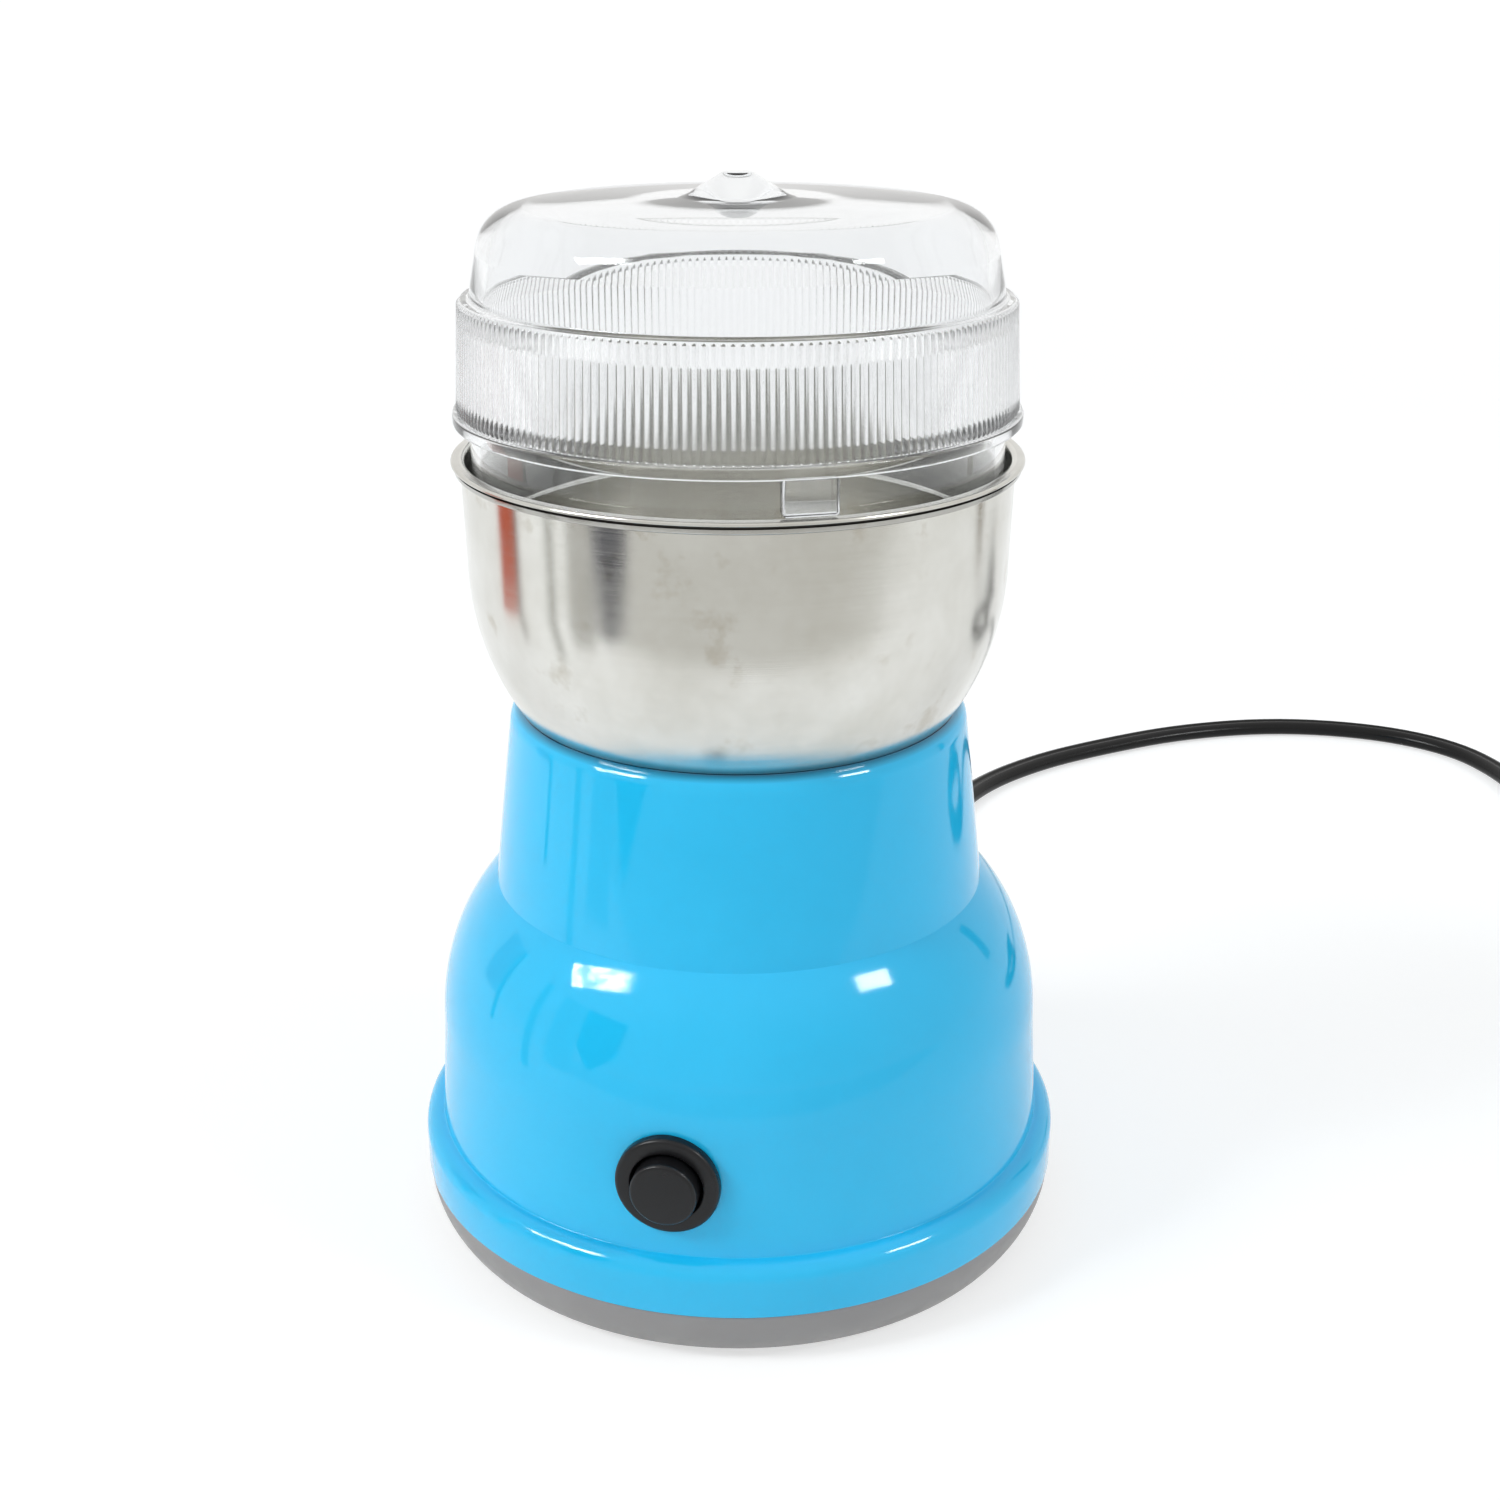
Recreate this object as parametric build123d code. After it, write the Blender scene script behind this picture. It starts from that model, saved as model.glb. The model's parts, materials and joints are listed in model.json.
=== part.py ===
from build123d import *
from math import cos, pi, radians, sin, sqrt, tan
import os

# An upright electric spice grinder: a clear lift-off lid over a spun steel cup, on a moulded
# housing with a base plate, a vertical brushed motor inside and a push button at the front.
# Millimetres, +Z up, origin on the table under the centre, button towards -Y, cord out at +Y.

# ---- Driving dimensions: housing and base ----
foot_height = 2.0
foot_radius = 6.0
foot_circle = 38.0
foot_stem_radius = 2.0
foot_count = 4
plate_rim_height = 7.0
plate_step = 0.2
plate_taper = 2.4
plate_bulge = 0.7
plate_floor = 2.0
plate_lip_height = 3.0
plate_lip_wall = 1.4
vent_count = 16
vent_width = 2.2
vent_length = 10.0
vent_circle = 20.0
collar_radius = 50.2
collar_height = 8.2
collar_round = 2.6
ledge_width = 2.85
belly_height = 16.6
belly_taper = 0.95
shoulder_width = 25.0
shoulder_rise = 29.5
neck_spread = 3.5
neck_top_height = 85.85
neck_trim = 1.25
neck_round = 3.0
wall = 2.2
deck_thickness = 2.5

# ---- Cup ----
bowl_radius = 39.2
bowl_depth_share = 0.689
neck_share = 0.86
bowl_corner = 4.0
cup_height = 15.3
cup_flare = 0.35
cup_wall = 0.7
rim_width = 1.35
rim_thickness = 1.2
gasket_margin = 5.4
gasket_thickness = 1.0

# ---- Lid ----
lid_lift = 5.0
lid_flange_overlap = 1.1
lid_flange_thickness = 1.7
band_step = 0.9
band_taper = 0.8
band_height = 15.4
dome_step = 1.3
dome_wall_height = 5.5
dome_wall_taper = 1.1
dome_round_width = 6.4
dome_round_height = 6.6
crown_height = 0.9
nub_base_radius = 7.0
nub_top_radius = 2.0
nub_height = 3.5
lid_wall = 1.8
skirt_depth = 14.0
lug_width = 7.2
lug_overlap = 1.0
lug_count = 3
lug_angle = 25.6

# ---- Motor and drive ----
shaft_radius = 3.0
bush_radius = 6.5
bush_flange_radius = 9.0
bush_flange_thickness = 1.5
bush_height = 6.0
cup_nut_width = 20.0
cup_nut_thickness = 4.0
bearing_radius = 7.0
bearing_length = 6.0
bearing_boss_wall = 2.5
bracket_thickness = 3.0
bracket_width = 16.0
bracket_leg = 5.2
leg_width = 10.0
stack_length = 54.0
stack_width = 44.0
stack_height = 20.0
stack_corner = 9.0
armature_radius = 14.5
armature_slots = 11
slot_width = 2.6
slot_depth = 6.0
air_gap = 0.6
winding_overhang = 5.0
coil_overhang = 6.0
coil_thickness = 4.5
coil_width = 7.0
bobbin_gap = 1.0
pole_width = 14.0
shoe_thickness = 2.8
commutator_radius = 9.0
commutator_length = 8.3
brush_size = 5.0
brush_length = 12.0
holder_wall = 1.0
holder_length = 14.8
brush_cap = 1.5
brush_plate_thickness = 2.5
brush_plate_width = 16.0
fan_radius = 22.0
fan_height = 5.2
fan_blades = 9
blade_length = 58.0
blade_width = 11.0
blade_thickness = 1.5
blade_tip_rise = 4.0
blade_tip_drop = 2.0
ear_offset = 26.1
ear_boss_radius = 3.55
ear_margin = 0.5
grommet_height = 2.5

# ---- Switch ----
button_height = 28.5
bezel_radius = 7.5
bezel_thickness = 1.65
barrel_radius = 5.9
barrel_length = 15.0
button_radius = 4.8
button_proud = 2.25
button_travel = 2.0
button_skirt = 4.2
stem_radius = 2.4
stem_length = 6.8
well_radius = 5.2
well_depth = 9.6
switch_nut_width = 14.0
switch_nut_thickness = 2.5

# ---- Cord ----
cord_radius = 2.8
cord_exit_height = 24.0
relief_flange_radius = 6.2
relief_flange_thickness = 2.0
relief_waist_radius = 4.5
relief_length = 22.0
relief_root_radius = 5.3
relief_tip_radius = 3.7
lead_radius = 0.9
lead_gap = 2.0
lead_spread = 1.4
lead_drop = 4.5
lead_bow = 9.0
tail_length = 39.0
tail_sway = 5.2
sag_length = 51.0
coil_middle_radius = 30.4
coil_bundle_width = 11.6
coil_bundle_height = 7.2
coil_lift = 0.8
coil_x = 190.2
coil_y = 178.0
tie_width = 6.0
tie_thickness = 0.6
plug_length = 34.0
plug_width = 35.3
plug_thickness = 13.7
plug_neck_width = 11.0
plug_neck_length = 14.0
plug_side_length = 16.0
plug_flat_length = 18.0
pin_spacing = 18.6
pin_radius = 2.0
pin_length = 19.0
pin_sleeve = 10.0

# ---- Clearances ----
fit_gap = 0.05
snug_gap = 0.1
seat_gap = 0.2
part_gap = 0.3
free_gap = 0.5

# ---- Screws ----
screw_radius = 1.45
screw_head_radius = 2.8
screw_head_height = 1.4
base_screw_length = 14.0
base_screw_count = 4
boss_radius = 3.75
boss_height = 26.0

# ---- Radii worked out from the collar and the bowl ----
plate_radius = collar_radius - plate_step
plate_bottom_radius = plate_radius - plate_taper
belly_radius = collar_radius - ledge_width
neck_top_radius = bowl_radius * neck_share
neck_base_radius = neck_top_radius + neck_spread
bowl_depth = bowl_radius * bowl_depth_share
gasket_radius = sqrt(bowl_radius**2 - bowl_depth**2) - gasket_margin
lid_flange_radius = bowl_radius + lid_flange_overlap
band_bottom_radius = lid_flange_radius - band_step
band_top_radius = band_bottom_radius - band_taper
dome_base_radius = band_top_radius - dome_step

# ---- Levels worked out from the floor up ----
seam_z = foot_height + plate_rim_height
floor_z = foot_height + plate_floor
collar_top_z = seam_z + collar_height
shoulder_z = collar_top_z + belly_height
shoulder_radius = belly_radius - belly_taper
shoulder_centre = shoulder_radius - shoulder_width
crease_z = shoulder_z + shoulder_rise * sqrt(1 - ((neck_base_radius - shoulder_centre) / shoulder_width) ** 2)
neck_top_z = neck_top_height
neck_lip_z = neck_top_z - neck_trim
neck_lip_radius = neck_top_radius + neck_spread * neck_trim / (neck_top_z - crease_z)
bowl_z = neck_top_z + sqrt((bowl_radius + seat_gap) ** 2 - neck_top_radius**2)
cup_bottom_z = bowl_z - bowl_depth
cup_floor_z = cup_bottom_z + cup_wall
rim_z = bowl_z + cup_height
rim_radius = bowl_radius + cup_flare + rim_width
deck_top_z = cup_bottom_z - gasket_thickness
deck_z = deck_top_z - deck_thickness

# ---- Levels of the motor, hung under the deck ----
boss_top_z = deck_z - bush_flange_thickness - free_gap
upper_bearing_z = boss_top_z - free_gap - bearing_length
upper_plate_z = boss_top_z - bearing_length - 2 * free_gap
upper_plate_top_z = upper_plate_z + bracket_thickness
stack_top_z = upper_plate_z - winding_overhang - 4 * free_gap
stack_z = stack_top_z - stack_height
commutator_z = stack_z - winding_overhang - free_gap - commutator_length
brush_plate_top_z = commutator_z - free_gap
brush_plate_z = brush_plate_top_z - brush_plate_thickness
lower_plate_z = brush_plate_z - bracket_thickness
lower_boss_z = brush_plate_z - bearing_length - 2 * free_gap
lower_bearing_z = lower_boss_z + free_gap
fan_z = lower_boss_z - 2 * free_gap - fan_height
shaft_z = fan_z - 2 * free_gap
brush_z = brush_plate_top_z + snug_gap + holder_wall + brush_size / 2
holder_size = brush_size + 2 * holder_wall
holder_start = commutator_radius + 4 * part_gap
holder_end = holder_start + holder_length
bolt_offset = stack_width / 2 - 3.0
bore_radius = armature_radius + air_gap
boss_outer_radius = bearing_radius + bearing_boss_wall

# ---- Levels of the drive inside the cup ----
bush_top_z = cup_floor_z + bush_height
collar_z = bush_top_z + 2 * part_gap
blade_z = collar_z + 3.2
blade_nut_z = blade_z + blade_thickness
thread_radius = shaft_radius - free_gap
shaft_top_z = blade_nut_z + 4.0

# ---- Levels of the lid ----
lid_flange_z = rim_z + lid_lift
band_z = lid_flange_z + lid_flange_thickness
ledge_z = band_z + band_height
dome_wall_z = ledge_z + dome_wall_height
dome_radius = dome_base_radius - dome_wall_taper
crown_radius = dome_radius - dome_round_width
crown_z = dome_wall_z + dome_round_height
nub_z = crown_z + crown_height
skirt_radius = bowl_radius - cup_wall - free_gap
skirt_z = lid_flange_z - skirt_depth

# ---- Places round the housing ----
belly_inner = belly_radius - wall
boss_circle = belly_inner - boss_radius + 0.9
switch_face = sqrt((belly_radius - belly_taper / 2) ** 2 - bezel_radius**2)
switch_pad = switch_face - wall
relief_y = belly_radius + fit_gap
relief_end_y = relief_y + relief_length
cord_bend = 3.8 * cord_radius


def turned(*curves):
    """Solid of revolution about Z from a closed outline of (radius, height) curves."""
    return revolve(Plane.XZ * make_face(curves), Axis.Z)


def tube(outer, inner, bottom, top):
    """Upright ring, or a disc where inner is zero."""
    ring = Circle(outer) - Circle(inner) if inner else Circle(outer)
    return Pos(0, 0, bottom) * extrude(ring, top - bottom)


def upright(sketch, bottom, top):
    """A plan shape raised between two levels."""
    return Pos(0, 0, bottom) * extrude(sketch, top - bottom)


def along_y(y, x=0.0, z=0.0):
    """Frame whose Z axis runs towards +Y."""
    return Plane(origin=(x, y, z), x_dir=(1, 0, 0), z_dir=(0, 1, 0)).location


def rod_y(radius, start, end, x, z):
    """Round bar lying along Y."""
    return along_y(start, x, z) * extrude(Circle(radius), end - start)


def rod_x(radius, start, end, y, z):
    """Round bar lying along X."""
    frame = Plane(origin=(start, y, z), x_dir=(0, 1, 0), z_dir=(1, 0, 0)).location
    return frame * extrude(Circle(radius), end - start)


def round_places(radius, count, start=0.0):
    """Evenly spaced places on a circle about Z."""
    turns = [radians(start + 360 / count * i) for i in range(count)]
    return [Pos(radius * cos(turn), radius * sin(turn), 0) for turn in turns]


def helix_spring(radius, wire, length, turns):
    """Open coil spring standing on the XY plane."""
    path = Helix(pitch=(length - 2 * wire) / turns, height=length - 2 * wire, radius=radius)
    section = Plane(origin=path @ 0, z_dir=path % 0) * Circle(wire)
    return Pos(0, 0, wire) * sweep(section, path)


def corner_radii(points):
    """Largest arc that each corner of a route leaves room for."""
    corners = zip(points, points[1:], points[2:])
    radii = []
    for before, corner, after in corners:
        run_in, run_out = Vector(*corner) - Vector(*before), Vector(*after) - Vector(*corner)
        half_turn = radians(run_in.get_angle(run_out)) / 2
        radii.append(0.45 * min(run_in.length, run_out.length) / tan(half_turn))
    return radii


def cable(points, radius):
    """Round cable of straight runs joined by tangent arcs."""
    path = FilletPolyline(*points, radius=corner_radii(points))
    section = Plane(origin=path @ 0, z_dir=path % 0) * Circle(radius)
    return sweep(section, path), path.length


# ---- Housing ----


def housing_outline(inset):
    """Outside of the housing from seam to neck top, moved inwards by inset."""
    collar, belly = collar_radius - inset, belly_radius - inset
    edge_z, ledge_z_here = collar_top_z - collar_round, collar_top_z - inset
    half_way = sqrt(0.5)
    ledge_mid = (belly + (collar - belly) * half_way, edge_z + (ledge_z_here - edge_z) * half_way)
    crease = neck_base_radius - inset
    reach = (crease - shoulder_centre) / (shoulder_width - inset)
    crease_here = shoulder_z + (shoulder_rise - inset) * sqrt(1 - reach**2)
    sweep_angle = Vector(1, 0).get_angle(Vector(reach, sqrt(1 - reach**2)))
    shoulder = EllipticalCenterArc(
        (shoulder_centre, shoulder_z), shoulder_width - inset, shoulder_rise - inset, 0, arc_size=sweep_angle
    )
    return [
        Line((0, seam_z), (collar, seam_z)),
        Line((collar, seam_z), (collar, edge_z)),
        ThreePointArc((collar, edge_z), ledge_mid, (belly, ledge_z_here)),
        Line((belly, ledge_z_here), (shoulder_radius - inset, shoulder_z)),
        shoulder,
        Line((crease, crease_here), (neck_lip_radius - inset, neck_lip_z)),
        Line((neck_lip_radius - inset, neck_lip_z), (0, neck_lip_z)),
        Line((0, neck_lip_z), (0, seam_z)),
    ]


def base_boss_places():
    """Four screw posts on the diagonals."""
    return round_places(boss_circle, base_screw_count, 45)


def ear_places():
    """Two places where the motor hangs from the deck."""
    return [Pos(0, side * ear_offset, 0) for side in (-1, 1)]


def make_housing():
    """Moulded shell with deck, screw posts, switch pad and cord shelf."""
    inside = turned(*housing_outline(wall)) & tube(collar_radius, 0, seam_z, deck_z)
    bowl_seat = Pos(0, 0, bowl_z) * Sphere(bowl_radius + seat_gap)
    seat_recess = bowl_seat & tube(bowl_radius, 0, deck_top_z, bowl_z)
    outside = turned(*housing_outline(0))
    outside = fillet(outside.edges().filter_by(GeomType.CIRCLE).group_by(Axis.Z)[-1], neck_round)
    shell = outside - inside - seat_recess
    shell -= tube(bush_radius + seat_gap, 0, deck_z, deck_top_z)
    post = tube(boss_radius, screw_radius + fit_gap, floor_z + seat_gap, floor_z + boss_height)
    for place in base_boss_places():
        shell += place * post
    ear_boss = tube(ear_boss_radius, 0, upper_plate_top_z + grommet_height, deck_z)
    ear_hole = tube(screw_radius + fit_gap, 0, upper_plate_top_z, deck_z + deck_thickness / 2)
    for place in ear_places():
        shell = shell + place * ear_boss - place * ear_hole
    shell += rod_y(bezel_radius + 2, -switch_face, -switch_pad, 0, button_height)
    shell -= rod_y(bezel_radius + snug_gap, -collar_radius, -switch_face, 0, button_height)
    shell -= rod_y(barrel_radius + seat_gap, -switch_face, -switch_pad, 0, button_height)
    shell -= rod_y(bezel_radius + 2, -switch_pad, -switch_pad + switch_nut_thickness, 0, button_height)
    shell += cord_shelf()
    shell -= rod_y(relief_waist_radius + snug_gap, belly_inner - 1, collar_radius, 0, cord_exit_height)
    return shell


clamp_width = 2 * (cord_radius + snug_gap + 2 * screw_head_radius + free_gap)
clamp_y = belly_inner - 10.5
clamp_length = 5.0
shelf_top_z = cord_exit_height - cord_radius - snug_gap
shelf_thickness = 6.0
relief_inner_y = belly_inner - 1.0
clamp_top_z = cord_exit_height + cord_radius + 2.0
clamp_screw_x = clamp_width / 2 - screw_head_radius - snug_gap


def cord_shelf():
    """Shelf at the back wall that the cord and its clamp lie on."""
    shelf_end = belly_inner + wall / 3
    shelf = upright(Rectangle(clamp_width, shelf_end - clamp_y), shelf_top_z - shelf_thickness, shelf_top_z)
    shelf = Pos(0, (clamp_y + shelf_end) / 2, 0) * shelf
    notch_y = relief_inner_y - relief_flange_thickness - snug_gap
    shelf -= rod_y(relief_flange_radius + snug_gap, notch_y, belly_inner - fit_gap, 0, cord_exit_height)
    for side in (-1, 1):
        shelf -= Pos(side * clamp_screw_x, clamp_y + clamp_length / 2, 0) * tube(
            screw_radius + fit_gap, 0, shelf_top_z - shelf_thickness + 1, shelf_top_z
        )
    return shelf


def make_base_plate():
    """Dished plate with a locating lip, a vent ring and holes for feet and screws."""
    lip = collar_radius - wall - part_gap
    lip_top = seam_z + plate_lip_height
    middle = ((plate_radius + plate_bottom_radius) / 2 + plate_bulge, (seam_z + foot_height) / 2)
    plate = turned(
        Line((0, foot_height), (plate_bottom_radius, foot_height)),
        ThreePointArc((plate_bottom_radius, foot_height), middle, (plate_radius, seam_z)),
        Polyline(
            (plate_radius, seam_z), (lip, seam_z), (lip, lip_top), (lip - plate_lip_wall, lip_top),
            (lip - plate_lip_wall, floor_z), (0, floor_z), (0, foot_height),
        ),
    )
    vent = upright(Rectangle(vent_length, vent_width), foot_height, floor_z)
    for i in range(vent_count):
        plate -= Rot(0, 0, 360 / vent_count * i) * Pos(vent_circle, 0, 0) * vent
    for place in round_places(foot_circle, foot_count):
        plate -= place * tube(foot_stem_radius + fit_gap, 0, foot_height, floor_z)
        plate -= place * tube(foot_radius + snug_gap, 0, foot_height, foot_height + plate_floor / 2)
    for place in base_boss_places():
        plate -= place * tube(screw_radius + seat_gap, 0, foot_height, floor_z)
    return plate


def make_rubber_feet():
    """Four push-in feet with a stem and a retaining head."""
    pad = tube(foot_radius, 0, 0, foot_height + plate_floor / 2 - fit_gap)
    pad = chamfer(pad.edges().group_by(Axis.Z)[0], 0.5)
    stem = tube(foot_stem_radius, 0, foot_height, floor_z + 1.5)
    head = tube(foot_stem_radius + 0.8, 0, floor_z + fit_gap, floor_z + 1.5)
    foot = pad + stem + head
    return Compound([place * foot for place in round_places(foot_circle, foot_count)])


def pan_screw(length):
    """Screw with its head's flat at z 0, head below and shank above."""
    head = chamfer(tube(screw_head_radius, 0, -screw_head_height, 0).edges().group_by(Axis.Z)[0], 0.4)
    slot = Pos(0, 0, -screw_head_height) * Box(2 * screw_head_radius, 0.8, 1.0)
    return head - slot + tube(screw_radius, 0, 0, length)


def make_base_screws():
    """Screws up through the base plate into the posts."""
    screw = Pos(0, 0, foot_height) * pan_screw(base_screw_length)
    return Compound([place * screw for place in base_boss_places()])


# ---- Cup ----


def cup_outline(inset):
    """Outside of the cup without its rim, moved inwards by inset."""
    bowl, bottom = bowl_radius - inset, cup_bottom_z + inset
    flat = sqrt(bowl**2 - (bowl_z - bottom) ** 2)
    middle = radians(53.6)
    return [
        Line((0, bottom), (flat, bottom)),
        ThreePointArc((flat, bottom), (bowl * sin(middle), bowl_z - bowl * cos(middle)), (bowl, bowl_z)),
        Line((bowl, bowl_z), (bowl + cup_flare, rim_z)),
        Line((bowl + cup_flare, rim_z), (0, rim_z)),
        Line((0, rim_z), (0, bottom)),
    ]


def make_grinding_cup():
    """Spun steel bowl with a flat bottom, a turned-out rim and a hole for the bush."""
    outside = turned(*cup_outline(0))
    outside = fillet(outside.edges().filter_by(GeomType.CIRCLE).group_by(Axis.Z)[0], bowl_corner)
    outside += tube(rim_radius, 0, rim_z - rim_thickness, rim_z)
    inside = turned(*cup_outline(cup_wall))
    inside = fillet(inside.edges().filter_by(GeomType.CIRCLE).group_by(Axis.Z)[0], bowl_corner - cup_wall)
    return outside - inside - tube(bush_radius + snug_gap, 0, cup_bottom_z, cup_floor_z)


def make_cup_gasket():
    """Flat rubber ring between deck and cup."""
    return tube(gasket_radius, bush_radius + snug_gap, deck_top_z, cup_bottom_z)


def make_cup_bush():
    """Flanged threaded sleeve that the shaft runs through and the cup is held by."""
    sleeve = tube(bush_flange_radius, 0, deck_z - bush_flange_thickness, deck_z)
    sleeve += tube(bush_radius, 0, deck_z, bush_top_z)
    sleeve -= tube(shaft_radius + part_gap, 0, deck_z - bush_flange_thickness, bush_top_z)
    return sleeve - tube(bush_radius - 1.5, 0, bush_top_z - 3, bush_top_z)


def make_shaft_seal():
    """Rubber lip seal in the mouth of the sleeve."""
    return tube(bush_radius - 1.5 - fit_gap, shaft_radius + fit_gap, bush_top_z - 3, bush_top_z)


def hexagon(width_across_flats):
    """Hexagon by its width across flats."""
    return RegularPolygon(width_across_flats / 2, 6, major_radius=False)


def make_cup_nut():
    """Hexagon nut that clamps the cup onto the deck."""
    nut = upright(hexagon(cup_nut_width), cup_floor_z, cup_floor_z + cup_nut_thickness)
    cone = Pos(0, 0, cup_floor_z + cup_nut_thickness / 2) * Cone(
        cup_nut_width / 2 + cup_nut_thickness, cup_nut_width / 2, cup_nut_thickness
    )
    return (nut & cone) - tube(bush_radius + fit_gap, 0, cup_floor_z, cup_floor_z + cup_nut_thickness)


# ---- Lid ----


def lid_outside():
    """Outside of the lid from skirt to nub."""
    skirt = skirt_radius
    round_mid = (
        crown_radius + dome_round_width * cos(radians(45)),
        dome_wall_z + dome_round_height * sin(radians(45)),
    )
    nub_mid = ((nub_base_radius + nub_top_radius) / 2 - 0.6, nub_z + nub_height / 3)
    return turned(
        Polyline(
            (0, skirt_z), (skirt, skirt_z), (skirt, lid_flange_z), (lid_flange_radius, lid_flange_z),
            (lid_flange_radius, band_z), (band_bottom_radius, band_z), (band_top_radius, ledge_z),
            (dome_base_radius, ledge_z), (dome_radius, dome_wall_z),
        ),
        ThreePointArc((dome_radius, dome_wall_z), round_mid, (crown_radius, crown_z)),
        Line((crown_radius, crown_z), (nub_base_radius, nub_z)),
        ThreePointArc((nub_base_radius, nub_z), nub_mid, (nub_top_radius, nub_z + nub_height - 0.4)),
        Polyline(
            (nub_top_radius, nub_z + nub_height - 0.4), (nub_top_radius - 0.4, nub_z + nub_height),
            (0, nub_z + nub_height), (0, skirt_z),
        ),
    )


def lid_inside():
    """Hollow of the lid."""
    skirt = skirt_radius - lid_wall
    width, height = dome_round_width - lid_wall / 2, dome_round_height - lid_wall / 2
    dome = dome_radius - lid_wall
    half_way = sqrt(0.5)
    round_mid = (dome - width + width * half_way, dome_wall_z - lid_wall / 2 + height * half_way)
    top = dome_wall_z - lid_wall / 2 + height
    return turned(
        Polyline(
            (0, skirt_z), (skirt, skirt_z), (skirt, band_z), (band_top_radius - lid_wall, band_z + lid_wall),
            (band_top_radius - lid_wall, ledge_z - 2 * lid_wall),
            (dome_base_radius - lid_wall, ledge_z - lid_wall / 2),
            (dome, dome_wall_z - lid_wall / 2),
        ),
        ThreePointArc((dome, dome_wall_z - lid_wall / 2), round_mid, (dome - width, top)),
        Polyline((dome - width, top), (0, top + crown_height), (0, skirt_z)),
    )


def lid_lugs():
    """Short pads under the flange that stand on the cup's rim."""
    outer = bowl_radius + cup_flare + lug_overlap
    ring = tube(outer, skirt_radius - lid_wall / 2, rim_z + part_gap, lid_flange_z)
    pad = Pos((outer + skirt_radius) / 2, 0, rim_z) * Box(outer, lug_width, 4 * lid_lift)
    return [Rot(0, 0, lug_angle - 90 + 360 / lug_count * i) * (ring & pad) for i in range(lug_count)]


def make_clear_lid():
    """One clear moulding with skirt, flange, band, dome and nub."""
    lid = lid_outside() - lid_inside()
    for lug in lid_lugs():
        lid += lug
    return lid


# ---- Motor frame ----


def bolt_places():
    """Two long motor bolts."""
    return [Pos(0, side * bolt_offset, 0) for side in (-1, 1)]


def bracket_legs(bottom, top):
    """Two legs round the motor bolts."""
    leg = upright(Rectangle(leg_width, bracket_leg), bottom, top)
    return [place * leg for place in bolt_places()]


def make_upper_bracket():
    """Bridge over the stator with the upper bearing's boss and two hanging ears."""
    plan = SlotOverall(2 * (ear_offset + ear_boss_radius + ear_margin), bracket_width * 0.6, rotation=90)
    plan += Rectangle(bracket_width, stack_width)
    bracket = upright(plan, upper_plate_z, upper_plate_top_z)
    bracket += tube(boss_outer_radius, 0, upper_plate_z, boss_top_z)
    for leg in bracket_legs(stack_top_z, upper_plate_z):
        bracket += leg
    bracket -= tube(bearing_radius + fit_gap, 0, upper_bearing_z, boss_top_z)
    bracket -= tube(shaft_radius + free_gap, 0, upper_plate_z, boss_top_z)
    for place in bolt_places() + ear_places():
        bracket -= place * tube(screw_radius + seat_gap, 0, stack_top_z, upper_plate_top_z)
    return bracket


def make_lower_bracket():
    """Bridge under the stator with the lower bearing's boss."""
    bracket = upright(Rectangle(bracket_width, stack_width), lower_plate_z, brush_plate_z)
    bracket += tube(boss_outer_radius, 0, lower_boss_z, brush_plate_z)
    for leg in bracket_legs(brush_plate_z, stack_z):
        bracket += leg
    bracket -= tube(bearing_radius + fit_gap, 0, lower_boss_z, lower_bearing_z + bearing_length)
    bracket -= tube(shaft_radius + free_gap, 0, lower_boss_z, brush_plate_z)
    for place in bolt_places():
        bracket -= place * tube(screw_radius + seat_gap, 0, lower_plate_z, stack_z)
    return bracket


def make_bearing(bottom):
    """Plain sintered bearing sleeve."""
    return tube(bearing_radius, shaft_radius + fit_gap, bottom, bottom + bearing_length)


def make_stator_core():
    """Two-pole lamination stack with pole shoes and coil windows."""
    yoke = 5.0
    window_edge = stack_length / 2 - yoke
    window_top = stack_width / 2 - yoke - 1.0
    plan = RectangleRounded(stack_length, stack_width, stack_corner)
    window = Rectangle(2 * window_edge, 2 * window_top) - Rectangle(2 * window_edge, pole_width)
    window -= Circle(bore_radius + shoe_thickness)
    gap_between_poles = Rectangle(1.2 * armature_radius, 2 * window_top)
    plan = plan - window - gap_between_poles - Circle(bore_radius)
    core = upright(plan, stack_z, stack_top_z)
    for place in bolt_places():
        core -= place * tube(screw_radius + seat_gap, 0, stack_z, stack_top_z)
    return core


def frame_on_pole(outer_gap, inner_gap, overhang, side):
    """Rectangular frame round one pole, standing in the YZ plane."""
    outside = RectangleRounded(pole_width + 2 * outer_gap, stack_height + 2 * overhang, outer_gap * 0.7)
    hole = Rectangle(pole_width + 2 * inner_gap, stack_height + 2 * inner_gap)
    start = bore_radius + shoe_thickness - 0.9
    frame = Plane(origin=(start, 0, (stack_z + stack_top_z) / 2), x_dir=(0, 1, 0), z_dir=(1, 0, 0)).location
    solid = frame * extrude(outside - hole, coil_thickness)
    return solid if side > 0 else Rot(0, 0, 180) * solid


def make_field_coils():
    """Two field windings."""
    outer, inner = bobbin_gap + coil_width, bobbin_gap + snug_gap
    return Compound([frame_on_pole(outer, inner, coil_overhang, side) for side in (-1, 1)])


def make_coil_bobbins():
    """Insulating frames between poles and windings."""
    return Compound([frame_on_pole(bobbin_gap, snug_gap, bobbin_gap, side) for side in (-1, 1)])


def make_motor_bolts():
    """Long bolts from the upper bracket through the stator to the lower bracket."""
    head = upright(hexagon(2 * screw_head_radius), upper_plate_top_z, upper_plate_top_z + 2.2)
    bolt = head + tube(screw_radius, 0, lower_plate_z - 4, upper_plate_top_z)
    return Compound([place * bolt for place in bolt_places()])


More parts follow.
